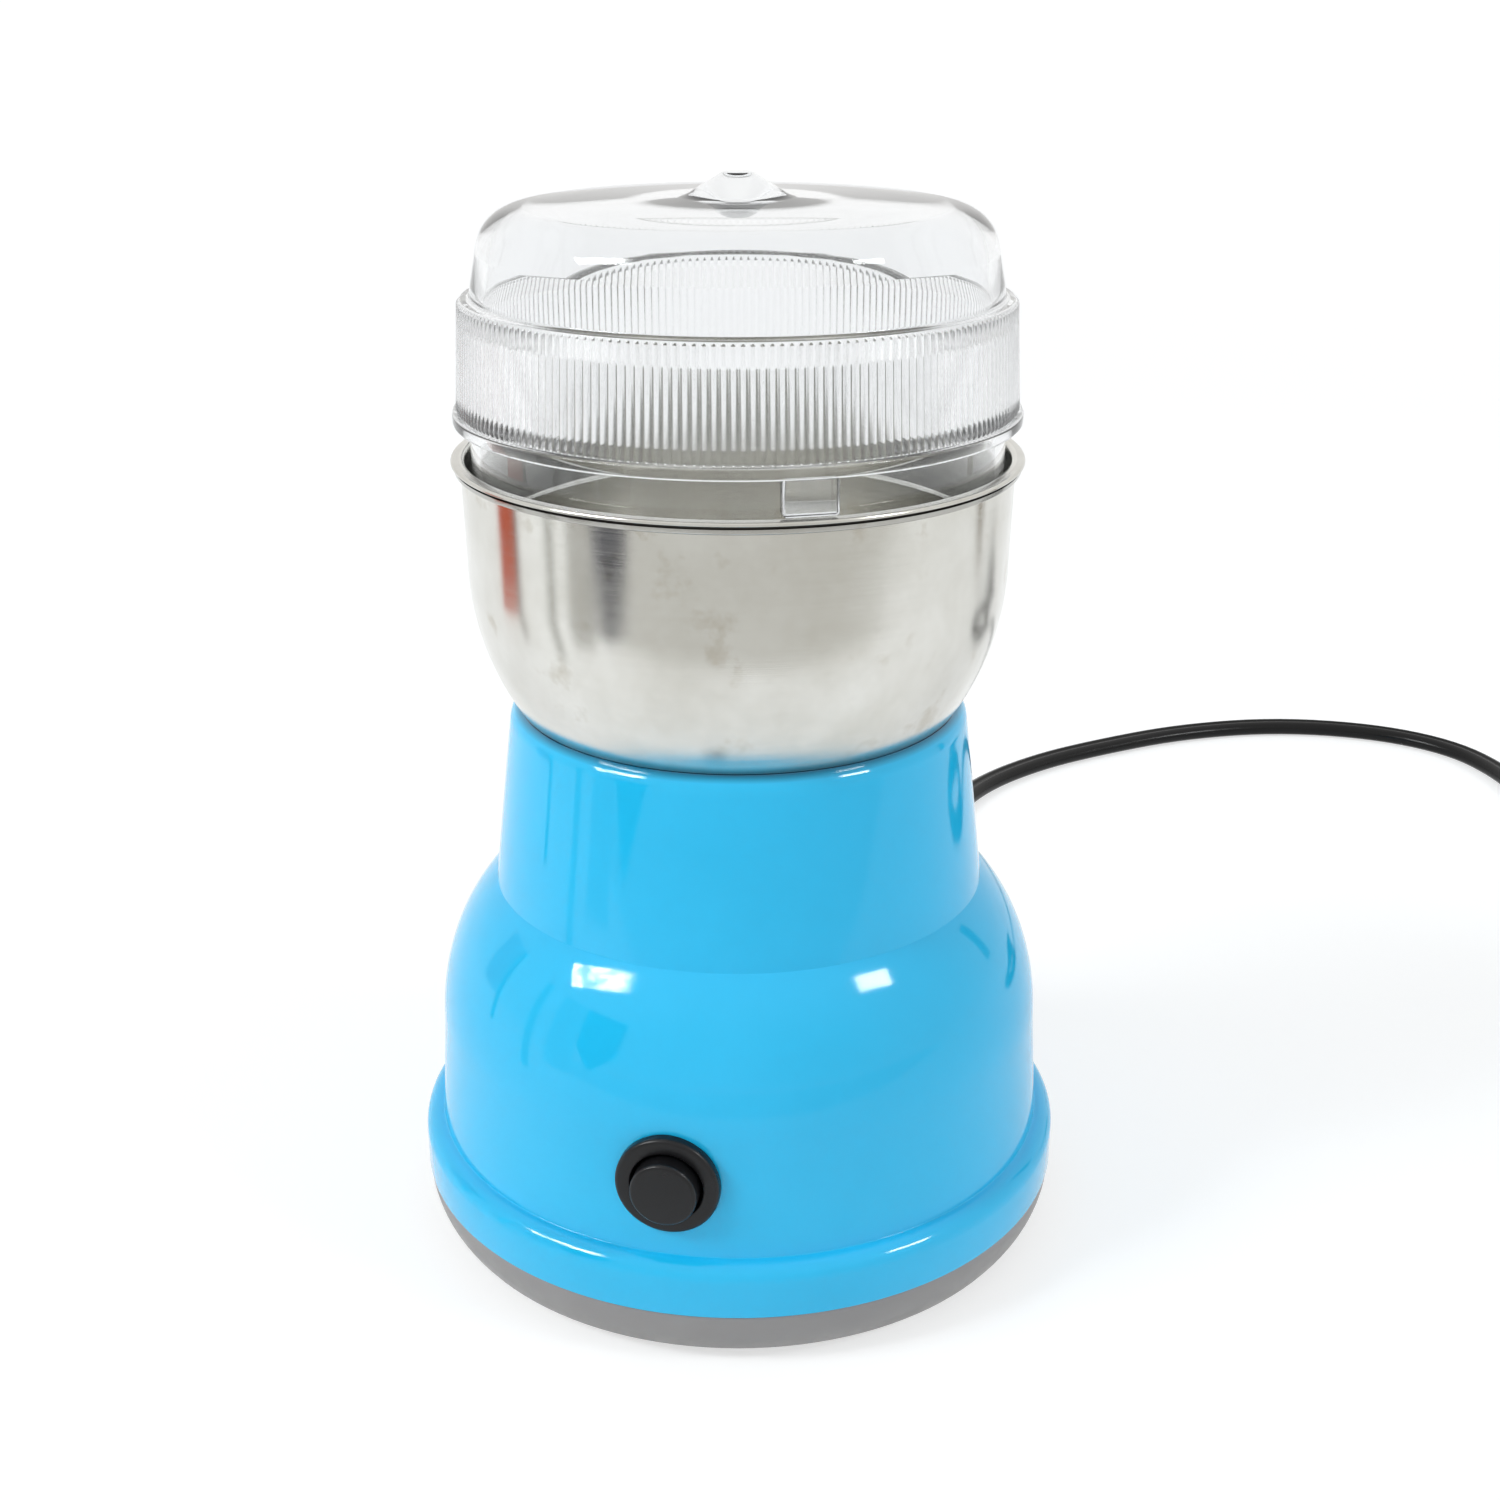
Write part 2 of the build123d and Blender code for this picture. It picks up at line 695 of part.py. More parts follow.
def make_motor_nuts():
    """Nuts on the long bolts."""
    nut = upright(hexagon(2 * screw_head_radius), lower_plate_z - 2.4, lower_plate_z)
    nut -= tube(screw_radius + fit_gap, 0, lower_plate_z - 2.4, lower_plate_z)
    return Compound([place * nut for place in bolt_places()])


def make_motor_grommets():
    """Rubber rings between the upper bracket and the deck's bosses."""
    top = upper_plate_top_z + grommet_height
    ring = tube(ear_boss_radius, screw_radius + seat_gap, upper_plate_top_z, top)
    return Compound([place * ring for place in ear_places()])


def make_motor_screws():
    """Screws up through the ears and grommets into the deck."""
    length = deck_z + deck_thickness / 2 - upper_plate_z - free_gap
    screw = Pos(0, 0, upper_plate_z) * pan_screw(length)
    return Compound([place * screw for place in ear_places()])


# ---- Brush gear ----

brush_plate_half = holder_end + brush_cap + 1.0
capacitor_size = (7.0, 14.0, 10.5)
capacitor_x = brush_plate_half + 4.5 + capacitor_size[0] / 2


def make_brush_plate():
    """Insulating plate that carries the brush holders and the capacitor."""
    left = capacitor_x + capacitor_size[0] / 2
    plan = RectangleRounded(brush_plate_half + left, brush_plate_width, 3)
    plan = Pos((brush_plate_half - left) / 2, 0) * plan
    return upright(plan - Circle(shaft_radius + 2), brush_plate_z, brush_plate_top_z)


def both_sides(solid):
    """The same piece at +X and, turned half round, at -X."""
    return Compound([solid, Rot(0, 0, 180) * solid])


def make_brush_holders():
    """Square guide tubes with end caps."""
    size, hole = holder_size, brush_size + 2 * snug_gap
    middle = (holder_start + holder_end) / 2
    guide = Pos(middle, 0, brush_z) * Box(holder_length, size, size)
    guide -= Pos(middle, 0, brush_z) * Box(holder_length, hole, hole)
    cap = Pos(holder_end + brush_cap / 2, 0, brush_z) * Box(brush_cap, size, size)
    return both_sides(guide + cap)


def make_carbon_brushes():
    """Square carbon blocks, hollowed to the commutator."""
    start = commutator_radius + part_gap
    brush = Pos(start + brush_length / 2, 0, brush_z) * Box(brush_length, brush_size, brush_size)
    brush -= tube(commutator_radius + 2 * part_gap, 0, commutator_z, commutator_z + commutator_length)
    return both_sides(brush)


def make_brush_springs():
    """Springs that push the brushes in."""
    start = commutator_radius + part_gap + brush_length + fit_gap
    spring = helix_spring(1.8, 0.25, holder_end - start - fit_gap, 3.5)
    frame = Plane(origin=(start, 0, brush_z), x_dir=(0, 1, 0), z_dir=(1, 0, 0)).location
    return both_sides(frame * spring)


def make_suppression_capacitor():
    """Box capacitor on the brush plate's tail."""
    depth, width, height = capacitor_size
    body = Pos(-capacitor_x, 0, brush_plate_top_z + height / 2) * Box(depth, width, height)
    return fillet(body.edges().filter_by(Axis.Z), 0.8)


# ---- Rotor ----


def make_rotor_shaft():
    """Steel shaft with a thinner threaded end for the blade."""
    return tube(shaft_radius, 0, shaft_z, blade_z) + tube(thread_radius, 0, blade_z, shaft_top_z)


def make_armature_core():
    """Slotted lamination stack."""
    plan = Circle(armature_radius) - Circle(shaft_radius + fit_gap)
    pocket = Pos(armature_radius - slot_depth / 2 - 1.2, 0) * Rectangle(slot_depth - 1.2, slot_width)
    mouth = Pos(armature_radius, 0) * Rectangle(slot_depth, slot_width / 2)
    for i in range(armature_slots):
        plan -= Rot(0, 0, 360 / armature_slots * i) * (pocket + mouth)
    return upright(plan, stack_z, stack_top_z)


def make_armature_winding():
    """Wound ends above and below the armature stack."""
    outer = armature_radius - 1.0
    lower = tube(outer, shaft_radius + fit_gap, stack_z - winding_overhang, stack_z)
    upper = tube(outer, shaft_radius + fit_gap, stack_top_z, stack_top_z + winding_overhang)
    lower = fillet(lower.edges().group_by(Axis.Z)[0].sort_by(SortBy.RADIUS)[-1], 2.5)
    upper = fillet(upper.edges().group_by(Axis.Z)[-1].sort_by(SortBy.RADIUS)[-1], 2.5)
    return Compound([lower, upper])


def make_commutator():
    """Copper barrel cut into segments on an insulating core."""
    top = commutator_z + commutator_length
    barrel = tube(commutator_radius, shaft_radius + fit_gap, commutator_z, top)
    cut = Pos(commutator_radius, 0, commutator_z + commutator_length / 2) * Box(1.4, 0.5, commutator_length)
    for i in range(armature_slots):
        barrel -= Rot(0, 0, 360 / armature_slots * i) * cut
    return barrel


def make_cooling_fan():
    """Pressed disc with hub and upright blades."""
    hub = tube(6.0, shaft_radius + fit_gap, fan_z, fan_z + fan_height)
    disc = tube(fan_radius, shaft_radius + fit_gap, fan_z + fan_height - 1.2, fan_z + fan_height)
    blade = Pos((fan_radius + 6) / 2, 0, fan_z + fan_height / 2) * Box(fan_radius - 6.5, 1.2, fan_height)
    fan = hub + disc
    for i in range(fan_blades):
        fan += Rot(0, 0, 360 / fan_blades * i) * blade
    return fan


def make_blade_collar():
    """Moulded collar under the blade."""
    collar = tube(6.0, shaft_radius + fit_gap, collar_z, blade_z)
    return chamfer(collar.edges().group_by(Axis.Z)[-1].sort_by(SortBy.RADIUS)[-1], 0.8)


def make_grinding_blade():
    """Two-armed blade, one tip bent up and one down."""
    half, flat, top = blade_length / 2, 9.0, blade_z + blade_thickness
    side = Polyline(
        (-half, blade_z - blade_tip_drop), (-flat, blade_z), (flat, blade_z),
        (half, blade_z + blade_tip_rise),
        (half, top + blade_tip_rise), (flat, top), (-flat, top), (-half, top - blade_tip_drop),
        (-half, blade_z - blade_tip_drop),
    )
    bar = extrude(Plane.XZ * make_face(side), blade_width / 2, both=True)
    plan = Polyline(
        (-half, -blade_width * 0.1), (-flat, -blade_width / 2), (flat, -blade_width / 2),
        (half, -blade_width * 0.1), (half, blade_width * 0.1), (flat, blade_width / 2),
        (-flat, blade_width / 2), (-half, blade_width * 0.1),
        (-half, -blade_width * 0.1),
    )
    outline = upright(make_face(plan), blade_z - blade_length, blade_z + blade_length)
    return (bar & outline) - tube(thread_radius + fit_gap, 0, blade_z - 1, top + 1)


def make_blade_nut():
    """Domed cap nut on the shaft's end."""
    nut = upright(hexagon(9.0), blade_nut_z, blade_nut_z + 3.4)
    dome = Pos(0, 0, blade_nut_z + 1.6) * Sphere(4.0) & tube(4.5, 0, blade_nut_z + 3.4, blade_nut_z + 6.0)
    return nut + dome - tube(thread_radius + fit_gap, 0, blade_nut_z, shaft_top_z + snug_gap)


# ---- Switch ----


def switch_ring(outer, inner, start, end):
    """Ring about the button's axis, by distances inwards from the bezel's face."""
    front = -switch_face - bezel_thickness
    sketch = Circle(outer) - Circle(inner) if inner else Circle(outer)
    return along_y(front + start, 0, button_height) * extrude(sketch, end - start)


def make_switch_body():
    """Bezel and barrel of the push switch with the button's well."""
    bezel = switch_ring(bezel_radius, 0, 0, bezel_thickness)
    bezel = fillet(bezel.edges().group_by(Axis.Y)[0], 0.6)
    body = bezel + switch_ring(barrel_radius, 0, bezel_thickness, barrel_length)
    body -= switch_ring(well_radius, 0, 0, well_depth)
    return body - switch_ring(stem_radius + fit_gap, 0, well_depth, barrel_length - 1.0)


def make_button_cap():
    """Round cap with the stem that works the contacts."""
    cap = switch_ring(button_radius, 0, -button_proud, button_skirt)
    cap = fillet(cap.edges().group_by(Axis.Y)[0], 0.5)
    return cap + switch_ring(stem_radius, 0, button_skirt, button_skirt + stem_length)


def make_button_spring():
    """Return spring round the stem."""
    length = well_depth - button_skirt
    spring = helix_spring((stem_radius + well_radius) / 2, 0.35, length - 2 * fit_gap, 4)
    return along_y(-switch_face - bezel_thickness + button_skirt + fit_gap, 0, button_height) * spring


def make_switch_nut():
    """Nut that holds the switch against the inside of the wall."""
    start = bezel_thickness + wall
    ring = along_y(-switch_pad, 0, button_height) * extrude(hexagon(switch_nut_width), switch_nut_thickness)
    return ring - switch_ring(barrel_radius + fit_gap, 0, start, start + switch_nut_thickness)


terminal_length = 4.0
switch_back = barrel_length - bezel_thickness - switch_face
terminal_x = 2.6


def make_switch_terminals():
    """Two solder tabs."""
    tab = Pos(0, switch_back + terminal_length / 2, button_height) * Box(0.8, terminal_length, 3.0)
    return Compound([Pos(side * terminal_x, 0, 0) * tab for side in (-1, 1)])


# ---- Cord, leads and plug ----

cord_route = [
    (0, clamp_y - 0.5, cord_exit_height), (0, relief_end_y + cord_bend, cord_exit_height),
    (2.4, relief_end_y + cord_bend + sag_length * 0.35, cord_exit_height * 0.69),
    (5.6, relief_end_y + cord_bend + sag_length * 0.67, cord_exit_height * 0.29),
    (10, relief_end_y + cord_bend + sag_length, cord_radius + 0.2),
    (15.4, 151, cord_radius), (21.5, 172, cord_radius), (34, 190, cord_radius),
    (49, 204, cord_radius), (68.8, 219.2, cord_radius), (93, 229.5, cord_radius), (118, 230, cord_radius),
    (136.5, 222, cord_radius), (146.5, 207, cord_radius), (150.6, 192, cord_radius),
    (coil_x - coil_middle_radius - coil_bundle_width / 2 - cord_radius - part_gap, coil_y, cord_radius),
]
tail_side = coil_x + coil_middle_radius + coil_bundle_width / 2 + cord_radius + part_gap
plug_axis_z = plug_thickness / 2
coil_top_z = coil_lift + coil_bundle_height
tail_route = [
    (tail_side, coil_y, coil_top_z - cord_radius),
    (tail_side - tail_sway / 13, coil_y + tail_length / 3, coil_top_z * 0.68),
    (tail_side - tail_sway * 0.46, coil_y + tail_length * 2 / 3, plug_axis_z),
    (tail_side - tail_sway, coil_y + tail_length, plug_axis_z),
]
plug_turn = 102.0


def make_power_cord():
    """Cord from the clamp to the put-away coil."""
    cord, length = cable(cord_route, cord_radius)
    print("power_cord radii", [round(radius, 1) for radius in corner_radii(cord_route)])
    full = length * pi * cord_radius**2
    print("power_cord length", round(length, 1), "volume ratio", round(cord.volume / full, 4))
    return cord


def make_cord_tail():
    """Last stretch of cord from the coil to the plug."""
    cord, length = cable(tail_route, cord_radius)
    print("cord_tail radii", [round(radius, 1) for radius in corner_radii(tail_route)])
    print("cord_tail length", round(length, 1))
    return cord


def make_cord_coil():
    """Outer shape of the put-away turns."""
    half = coil_bundle_width / 2
    outer, inner = coil_middle_radius + half, coil_middle_radius - half
    ring = tube(outer, inner, coil_lift, coil_lift + coil_bundle_height)
    return Pos(coil_x, coil_y, 0) * fillet(ring.edges(), 1.6)


def make_coil_tie():
    """Flat band round the turns."""
    inner_width, inner_height = coil_bundle_width + 2 * part_gap, coil_bundle_height + 2 * snug_gap
    band = Box(inner_width + 2 * tie_thickness, tie_width, inner_height + 2 * tie_thickness)
    band -= Box(inner_width, tie_width, inner_height)
    middle = Pos(coil_x, coil_y, coil_lift + coil_bundle_height / 2)
    return middle * Rot(0, 0, -90) * Pos(coil_middle_radius, 0, 0) * band


def plug_place():
    """Frame of the plug, +X towards its pins, at the cord's end."""
    end = tail_route[-1]
    return Pos(*end) * Rot(0, 0, plug_turn) * Pos(fit_gap, 0, 0)


def make_plug_body():
    """Flat two-pin plug with a tapered neck."""
    half, neck, length = plug_width / 2, plug_neck_width / 2, plug_neck_length + plug_length
    plan = Polyline(
        (0, -cord_radius - 1), (plug_neck_length, -neck),
        (length - plug_side_length, -half), (length - 3, -half),
        (length, -half + 4), (length, half - 4), (length - 3, half), (length - plug_side_length, half),
        (plug_neck_length, neck), (0, cord_radius + 1), (0, -cord_radius - 1),
    )
    side = Polyline(
        (0, -cord_radius - 1), (plug_neck_length, -plug_thickness * 0.36),
        (length - plug_flat_length, -plug_thickness / 2), (length, -plug_thickness / 2),
        (length, plug_thickness / 2), (length - plug_flat_length, plug_thickness / 2),
        (plug_neck_length, plug_thickness * 0.36), (0, cord_radius + 1), (0, -cord_radius - 1),
    )
    body = extrude(make_face(plan), plug_thickness, both=True)
    body &= extrude(Plane.XZ * make_face(side), plug_width, both=True)
    for side_y in (-1, 1):
        body -= Pos(0, side_y * pin_spacing / 2, 0) * rod_x(pin_radius + fit_gap, length - 8, length, 0, 0)
    return plug_place() * body


def plug_pin_pair(radius, start, end):
    """Two round pins or sleeves, by distances along the plug."""
    return [rod_x(radius, start, end, side * pin_spacing / 2, 0) for side in (-1, 1)]


def make_plug_pins():
    """Brass pins."""
    root = plug_neck_length + plug_length
    pins = plug_pin_pair(pin_radius, root - 7, root + pin_length)
    pins = [fillet(pin.edges().group_by(Axis.X)[-1], 1.2) for pin in pins]
    sleeves = plug_pin_pair(pin_radius + 1, root, root + pin_sleeve)
    cores = plug_pin_pair(pin_radius - 0.35, root, root + pin_sleeve)
    necked = [pin - (sleeve - core) for pin, sleeve, core in zip(pins, sleeves, cores)]
    return Compound([plug_place() * pin for pin in necked])


def make_pin_sleeves():
    """Insulating sleeves round the pins' roots."""
    root = plug_neck_length + plug_length
    outer = plug_pin_pair(pin_radius, root + fit_gap, root + pin_sleeve - fit_gap)
    inner = plug_pin_pair(pin_radius - 0.3, root, root + pin_sleeve)
    return Compound([plug_place() * (sleeve - core) for sleeve, core in zip(outer, inner)])


def make_strain_relief():
    """Rubber bush in the wall with a tapered tail round the cord."""
    inner_face = relief_inner_y
    outline = Polyline(
        (cord_radius + snug_gap, inner_face - relief_flange_thickness),
        (relief_flange_radius, inner_face - relief_flange_thickness), (relief_flange_radius, inner_face),
        (relief_waist_radius, inner_face), (relief_waist_radius, relief_y), (relief_flange_radius, relief_y),
        (relief_flange_radius, relief_y + relief_flange_thickness),
        (relief_root_radius, relief_y + relief_flange_thickness),
        (relief_tip_radius, relief_y + relief_length),
        (cord_radius + snug_gap, relief_y + relief_length),
        (cord_radius + snug_gap, inner_face - relief_flange_thickness),
    )
    bush = revolve(make_face(outline), Axis.Y)
    return Pos(0, 0, cord_exit_height) * bush


def make_cord_clamp():
    """Saddle that holds the cord down on its shelf."""
    height = clamp_top_z - shelf_top_z
    bar = Box(clamp_width, clamp_length, height)
    bar = Pos(0, clamp_y + clamp_length / 2, shelf_top_z + height / 2) * bar
    channel = cord_radius + snug_gap
    bar -= rod_y(channel, clamp_y, clamp_y + clamp_length, 0, cord_exit_height)
    bar -= Pos(0, clamp_y + clamp_length / 2, shelf_top_z) * Box(2 * channel, clamp_length, 2 * channel)
    for side in (-1, 1):
        bar -= Pos(side * clamp_screw_x, clamp_y + clamp_length / 2, 0) * tube(
            screw_radius + seat_gap, 0, shelf_top_z, clamp_top_z
        )
    return bar


def make_clamp_screws():
    """Two screws down through the clamp."""
    screw = Rot(180, 0, 0) * pan_screw(clamp_top_z - shelf_top_z + 3.5)
    place = Pos(0, clamp_y + clamp_length / 2, clamp_top_z)
    return Compound([Pos(side * clamp_screw_x, 0, 0) * place * screw for side in (-1, 1)])


lead_y = clamp_y - 0.5 - lead_radius - snug_gap
lead_side_x = brush_plate_half + lead_gap
lead_low_z = brush_plate_z - lead_drop
holder_back = holder_end + brush_cap + lead_radius + snug_gap
coil_lead_x = bore_radius + shoe_thickness - 0.9 + coil_thickness / 2
coil_foot_z = stack_z - coil_overhang - snug_gap
terminal_y = switch_back + terminal_length + snug_gap + lead_radius


def make_live_lead():
    """Lead from the cord to the switch's right tab, low down past the brush plate."""
    return cable([
        (lead_spread, lead_y, cord_exit_height),
        (lead_side_x * 0.3, lead_y * 0.85, cord_exit_height - lead_gap),
        (lead_side_x * 0.7, lead_y * 0.63, lead_low_z + lead_gap), (lead_side_x, lead_bow, lead_low_z),
        (lead_side_x, -lead_bow, lead_low_z), (lead_side_x * 0.68, terminal_y * 0.71, lead_low_z + lead_gap),
        (lead_side_x * 0.34, terminal_y * 1.03, button_height - lead_gap),
        (terminal_x, terminal_y, button_height),
    ], lead_radius)[0]


def make_neutral_lead():
    """Lead from the cord to the left brush holder."""
    return cable([
        (-lead_spread, lead_y, cord_exit_height), (-holder_back * 0.3, lead_y * 0.88, brush_z - 2 * lead_gap),
        (-holder_back * 0.7, lead_y * 0.66, brush_z - lead_gap),
        (-holder_back - lead_gap / 3, lead_y * 0.36, brush_z),
        (-holder_back, 0, brush_z),
    ], lead_radius)[0]


def make_switch_lead():
    """Lead from the switch's left tab to the left field coil."""
    return cable([
        (-terminal_x, terminal_y, button_height),
        (-coil_lead_x * 0.47, terminal_y * 0.98, button_height - lead_gap / 2),
        (-coil_lead_x, terminal_y * 0.75, button_height - lead_gap / 2),
        (-coil_lead_x, terminal_y * 0.5, coil_foot_z),
    ], lead_radius)[0]


def make_motor_lead():
    """Lead from the right field coil to the right brush holder."""
    return cable([
        (coil_lead_x, terminal_y * 0.43, coil_foot_z),
        (coil_lead_x * 1.15, terminal_y * 0.46, coil_foot_z - 2 * lead_gap),
        (holder_back, terminal_y * 0.32, brush_z), (holder_back, 0, brush_z + lead_gap / 6),
    ], lead_radius)[0]


pieces = {
    "housing": make_housing,
    "base_plate": make_base_plate,
    "rubber_feet": make_rubber_feet,
    "base_screws": make_base_screws,
    "grinding_cup": make_grinding_cup,
    "cup_gasket": make_cup_gasket,
    "cup_bush": make_cup_bush,
    "shaft_seal": make_shaft_seal,
    "cup_nut": make_cup_nut,
    "clear_lid": make_clear_lid,
    "upper_bracket": make_upper_bracket,
    "lower_bracket": make_lower_bracket,
    "upper_bearing": lambda: make_bearing(upper_bearing_z),
    "lower_bearing": lambda: make_bearing(lower_bearing_z),
    "stator_core": make_stator_core,
    "field_coils": make_field_coils,
    "coil_bobbins": make_coil_bobbins,
    "motor_bolts": make_motor_bolts,
    "motor_nuts": make_motor_nuts,
    "motor_grommets": make_motor_grommets,
    "motor_screws": make_motor_screws,
    "brush_plate": make_brush_plate,
    "brush_holders": make_brush_holders,
    "carbon_brushes": make_carbon_brushes,
    "brush_springs": make_brush_springs,
    "suppression_capacitor": make_suppression_capacitor,
    "rotor_shaft": make_rotor_shaft,
    "armature_core": make_armature_core,
    "armature_winding": make_armature_winding,
    "commutator": make_commutator,
    "cooling_fan": make_cooling_fan,
    "blade_collar": make_blade_collar,
    "grinding_blade": make_grinding_blade,
    "blade_nut": make_blade_nut,
    "switch_body": make_switch_body,
    "button_cap": make_button_cap,
    "button_spring": make_button_spring,
    "switch_nut": make_switch_nut,
    "switch_terminals": make_switch_terminals,
    "strain_relief": make_strain_relief,
    "cord_clamp": make_cord_clamp,
    "clamp_screws": make_clamp_screws,
    "live_lead": make_live_lead,
    "neutral_lead": make_neutral_lead,
    "switch_lead": make_switch_lead,
    "motor_lead": make_motor_lead,
    "power_cord": make_power_cord,
    "cord_coil": make_cord_coil,
    "coil_tie": make_coil_tie,
    "cord_tail": make_cord_tail,
    "plug_body": make_plug_body,
    "plug_pins": make_plug_pins,
    "pin_sleeves": make_pin_sleeves,
}

os.makedirs("parts", exist_ok=True)
for name, make in pieces.items():
    export_step(make(), f"parts/{name}.step")
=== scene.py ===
import bmesh
import bpy
import json
from math import acos, asin, cos, degrees, hypot, pi, radians, sin, sqrt, tan
from mathutils import Matrix, Vector


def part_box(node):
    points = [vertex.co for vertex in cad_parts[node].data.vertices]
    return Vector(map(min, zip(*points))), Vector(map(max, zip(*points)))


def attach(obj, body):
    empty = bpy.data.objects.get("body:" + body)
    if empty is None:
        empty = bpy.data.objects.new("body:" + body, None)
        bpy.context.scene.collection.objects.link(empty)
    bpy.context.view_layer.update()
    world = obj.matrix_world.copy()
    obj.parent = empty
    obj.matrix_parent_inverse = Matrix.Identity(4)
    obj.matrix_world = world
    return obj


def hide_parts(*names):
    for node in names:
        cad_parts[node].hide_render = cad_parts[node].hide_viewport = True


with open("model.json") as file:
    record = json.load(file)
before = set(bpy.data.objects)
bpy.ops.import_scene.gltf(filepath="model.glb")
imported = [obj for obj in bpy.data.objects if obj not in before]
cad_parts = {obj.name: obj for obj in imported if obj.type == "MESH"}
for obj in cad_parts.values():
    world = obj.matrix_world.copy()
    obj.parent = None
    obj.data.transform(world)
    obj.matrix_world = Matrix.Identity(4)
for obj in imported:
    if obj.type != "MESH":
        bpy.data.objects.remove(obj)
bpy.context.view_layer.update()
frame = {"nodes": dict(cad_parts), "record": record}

# Metres, +Z up, origin on the table under the middle of the grinder, button towards -Y.
MM = 0.001


def box_in_mm(node):
    """Lowest and highest corner of a CAD node, in millimetres."""
    return [[round(value / MM, 3) for value in corner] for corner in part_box(node)]


cup_low, cup_high = box_in_mm("grinding_cup")
lid_low, lid_high = box_in_mm("clear_lid")
switch_low, switch_high = box_in_mm("switch_body")
bush_low, bush_high = box_in_mm("strain_relief")

# ---- Sizes, in millimetres ----

# Cup: a bowl whose ball is centred at bowl_z, with a rolled rim.
cup_bottom_z = cup_low[2]
rim_z = cup_high[2]
rim_radius = cup_high[0]
bowl_radius = 39.2
bowl_z = rim_z - 15.3
cup_wall = 0.7
cup_flare = 0.35
bush_hole = 6.5

# Housing: collar, belly, shoulder, neck, and the deck under the cup's gasket.
seam_z = 9.0
collar_radius = box_in_mm("housing")[1][0]
collar_top_z = 17.2
collar_round = 2.6
belly_radius = 47.35
shoulder_z = 33.8
shoulder_radius = 46.4
shoulder_width = 25.0
shoulder_rise = 29.5
crease_z = 56.65
neck_base_radius = 37.212
neck_top_radius = 33.712
lip_z = 84.35
lip_centre = (31.2, 81.6)
lip_round = 3.0
housing_wall = 2.2
seat_gap = 0.06
deck_top_z = cup_bottom_z - 1.0
deck_z = deck_top_z - 2.5

# Lid: skirt in the cup, flange over the rim, ribbed band, ledge, dome and nub.
skirt_z = lid_low[2]
skirt_radius = 38.0
lid_flange_z = rim_z + 5.0
lid_flange_radius = 40.3
band_z = lid_flange_z + 1.7
band_bottom_radius = 39.4
band_top_radius = 38.6
ledge_z = band_z + 15.4
dome_base_radius = 37.3
dome_radius = 36.2
dome_wall_z = ledge_z + 5.5
crown_z = dome_wall_z + 6.6
crown_radius = 29.8
nub_z = crown_z + 0.9
lid_top_z = lid_high[2]
lid_wall = 1.8
rib_count = 204
rib_depth = 0.34
lug_angles = (25.6, 145.6, 265.6)
lug_radius = 39.1

# Switch, and the hole of the cord's bush.
ring_proud = 1.65
switch_face = -switch_low[1] - ring_proud
button_z = (switch_low[2] + switch_high[2]) / 2
bush_z = (bush_low[2] + bush_high[2]) / 2


# ---- Mesh helpers ----


def object_of(name, bm):
    """New object in the scene with a finished mesh."""
    mesh = bpy.data.meshes.new(name)
    bm.to_mesh(mesh)
    bm.free()
    made = bpy.data.objects.new(name, mesh)
    bpy.context.scene.collection.objects.link(made)
    return made


def arc(bm, centre, radii, start, end, steps):
    """Part of an ellipse in the XZ plane, spun from one vertex. Angles in degrees from +X up to +Z."""
    first = bm.verts.new((cos(radians(start)), 0, sin(radians(start))))
    count = len(bm.verts)
    bmesh.ops.spin(
        bm, geom=[first], cent=(0, 0, 0), axis=(0, -1, 0), angle=radians(end - start), steps=steps,
        use_merge=False, use_duplicate=False,
    )
    bm.verts.ensure_lookup_table()
    run = [first] + bm.verts[count:]
    bmesh.ops.scale(bm, vec=(radii[0] * MM, 1, radii[1] * MM), verts=run)
    bmesh.ops.translate(bm, vec=(centre[0] * MM, 0, centre[1] * MM), verts=run)
    return run


def outline(*runs, closed=False):
    """Profile in the XZ plane from corners (radius, height, rounding) and arcs, in millimetres."""
    bm = bmesh.new()
    chain, soft = [], []
    for run in runs:
        if len(run) > 3:
            chain += arc(bm, *run)
        else:
            corner = bm.verts.new((run[0] * MM, 0, run[1] * MM))
            chain.append(corner)
            if len(run) == 3:
                soft.append((corner, run[2] * MM))
    pairs = list(zip(chain, chain[1:]))
    if closed:
        pairs.append((chain[-1], chain[0]))
    for a, b in pairs:
        if not bm.edges.get((a, b)):
            bm.edges.new((a, b))
    for corner, rounding in soft:
        ends = [edge.other_vert(corner).co - corner.co for edge in corner.link_edges]
        half = ends[0].angle(ends[1]) / 2
        reach = rounding / tan(half)
        bmesh.ops.bevel(
            bm, geom=[corner], offset=reach, offset_type="OFFSET", affect="VERTICES",
            segments=5, profile=0.5, material=-1, clamp_overlap=True,
        )
    return bm


def spin(bm, steps):
    """Turns a profile once round Z and closes its seam and poles."""
    bmesh.ops.spin(
        bm, geom=bm.verts[:] + bm.edges[:], cent=(0, 0, 0), axis=(0, 0, 1), angle=2 * pi, steps=steps,
        use_merge=True, use_duplicate=False,
    )
    bmesh.ops.remove_doubles(bm, verts=bm.verts, dist=1e-7)
    bmesh.ops.recalc_face_normals(bm, faces=bm.faces)
    return bm


def block(bm, size, centre, rounding=0.0):
    """Box in millimetres, with rounded edges if asked."""
    made = bmesh.ops.create_cube(bm, size=1.0)["verts"]
    bmesh.ops.scale(bm, vec=[s * MM for s in size], verts=made)
    if rounding:
        edges = list(dict.fromkeys(edge for vert in made for edge in vert.link_edges))
        made = bmesh.ops.bevel(
            bm, geom=edges, offset=rounding * MM, affect="EDGES", segments=2, profile=0.5, material=-1,
        )["verts"]
    bmesh.ops.translate(bm, vec=[c * MM for c in centre], verts=made)
    return made


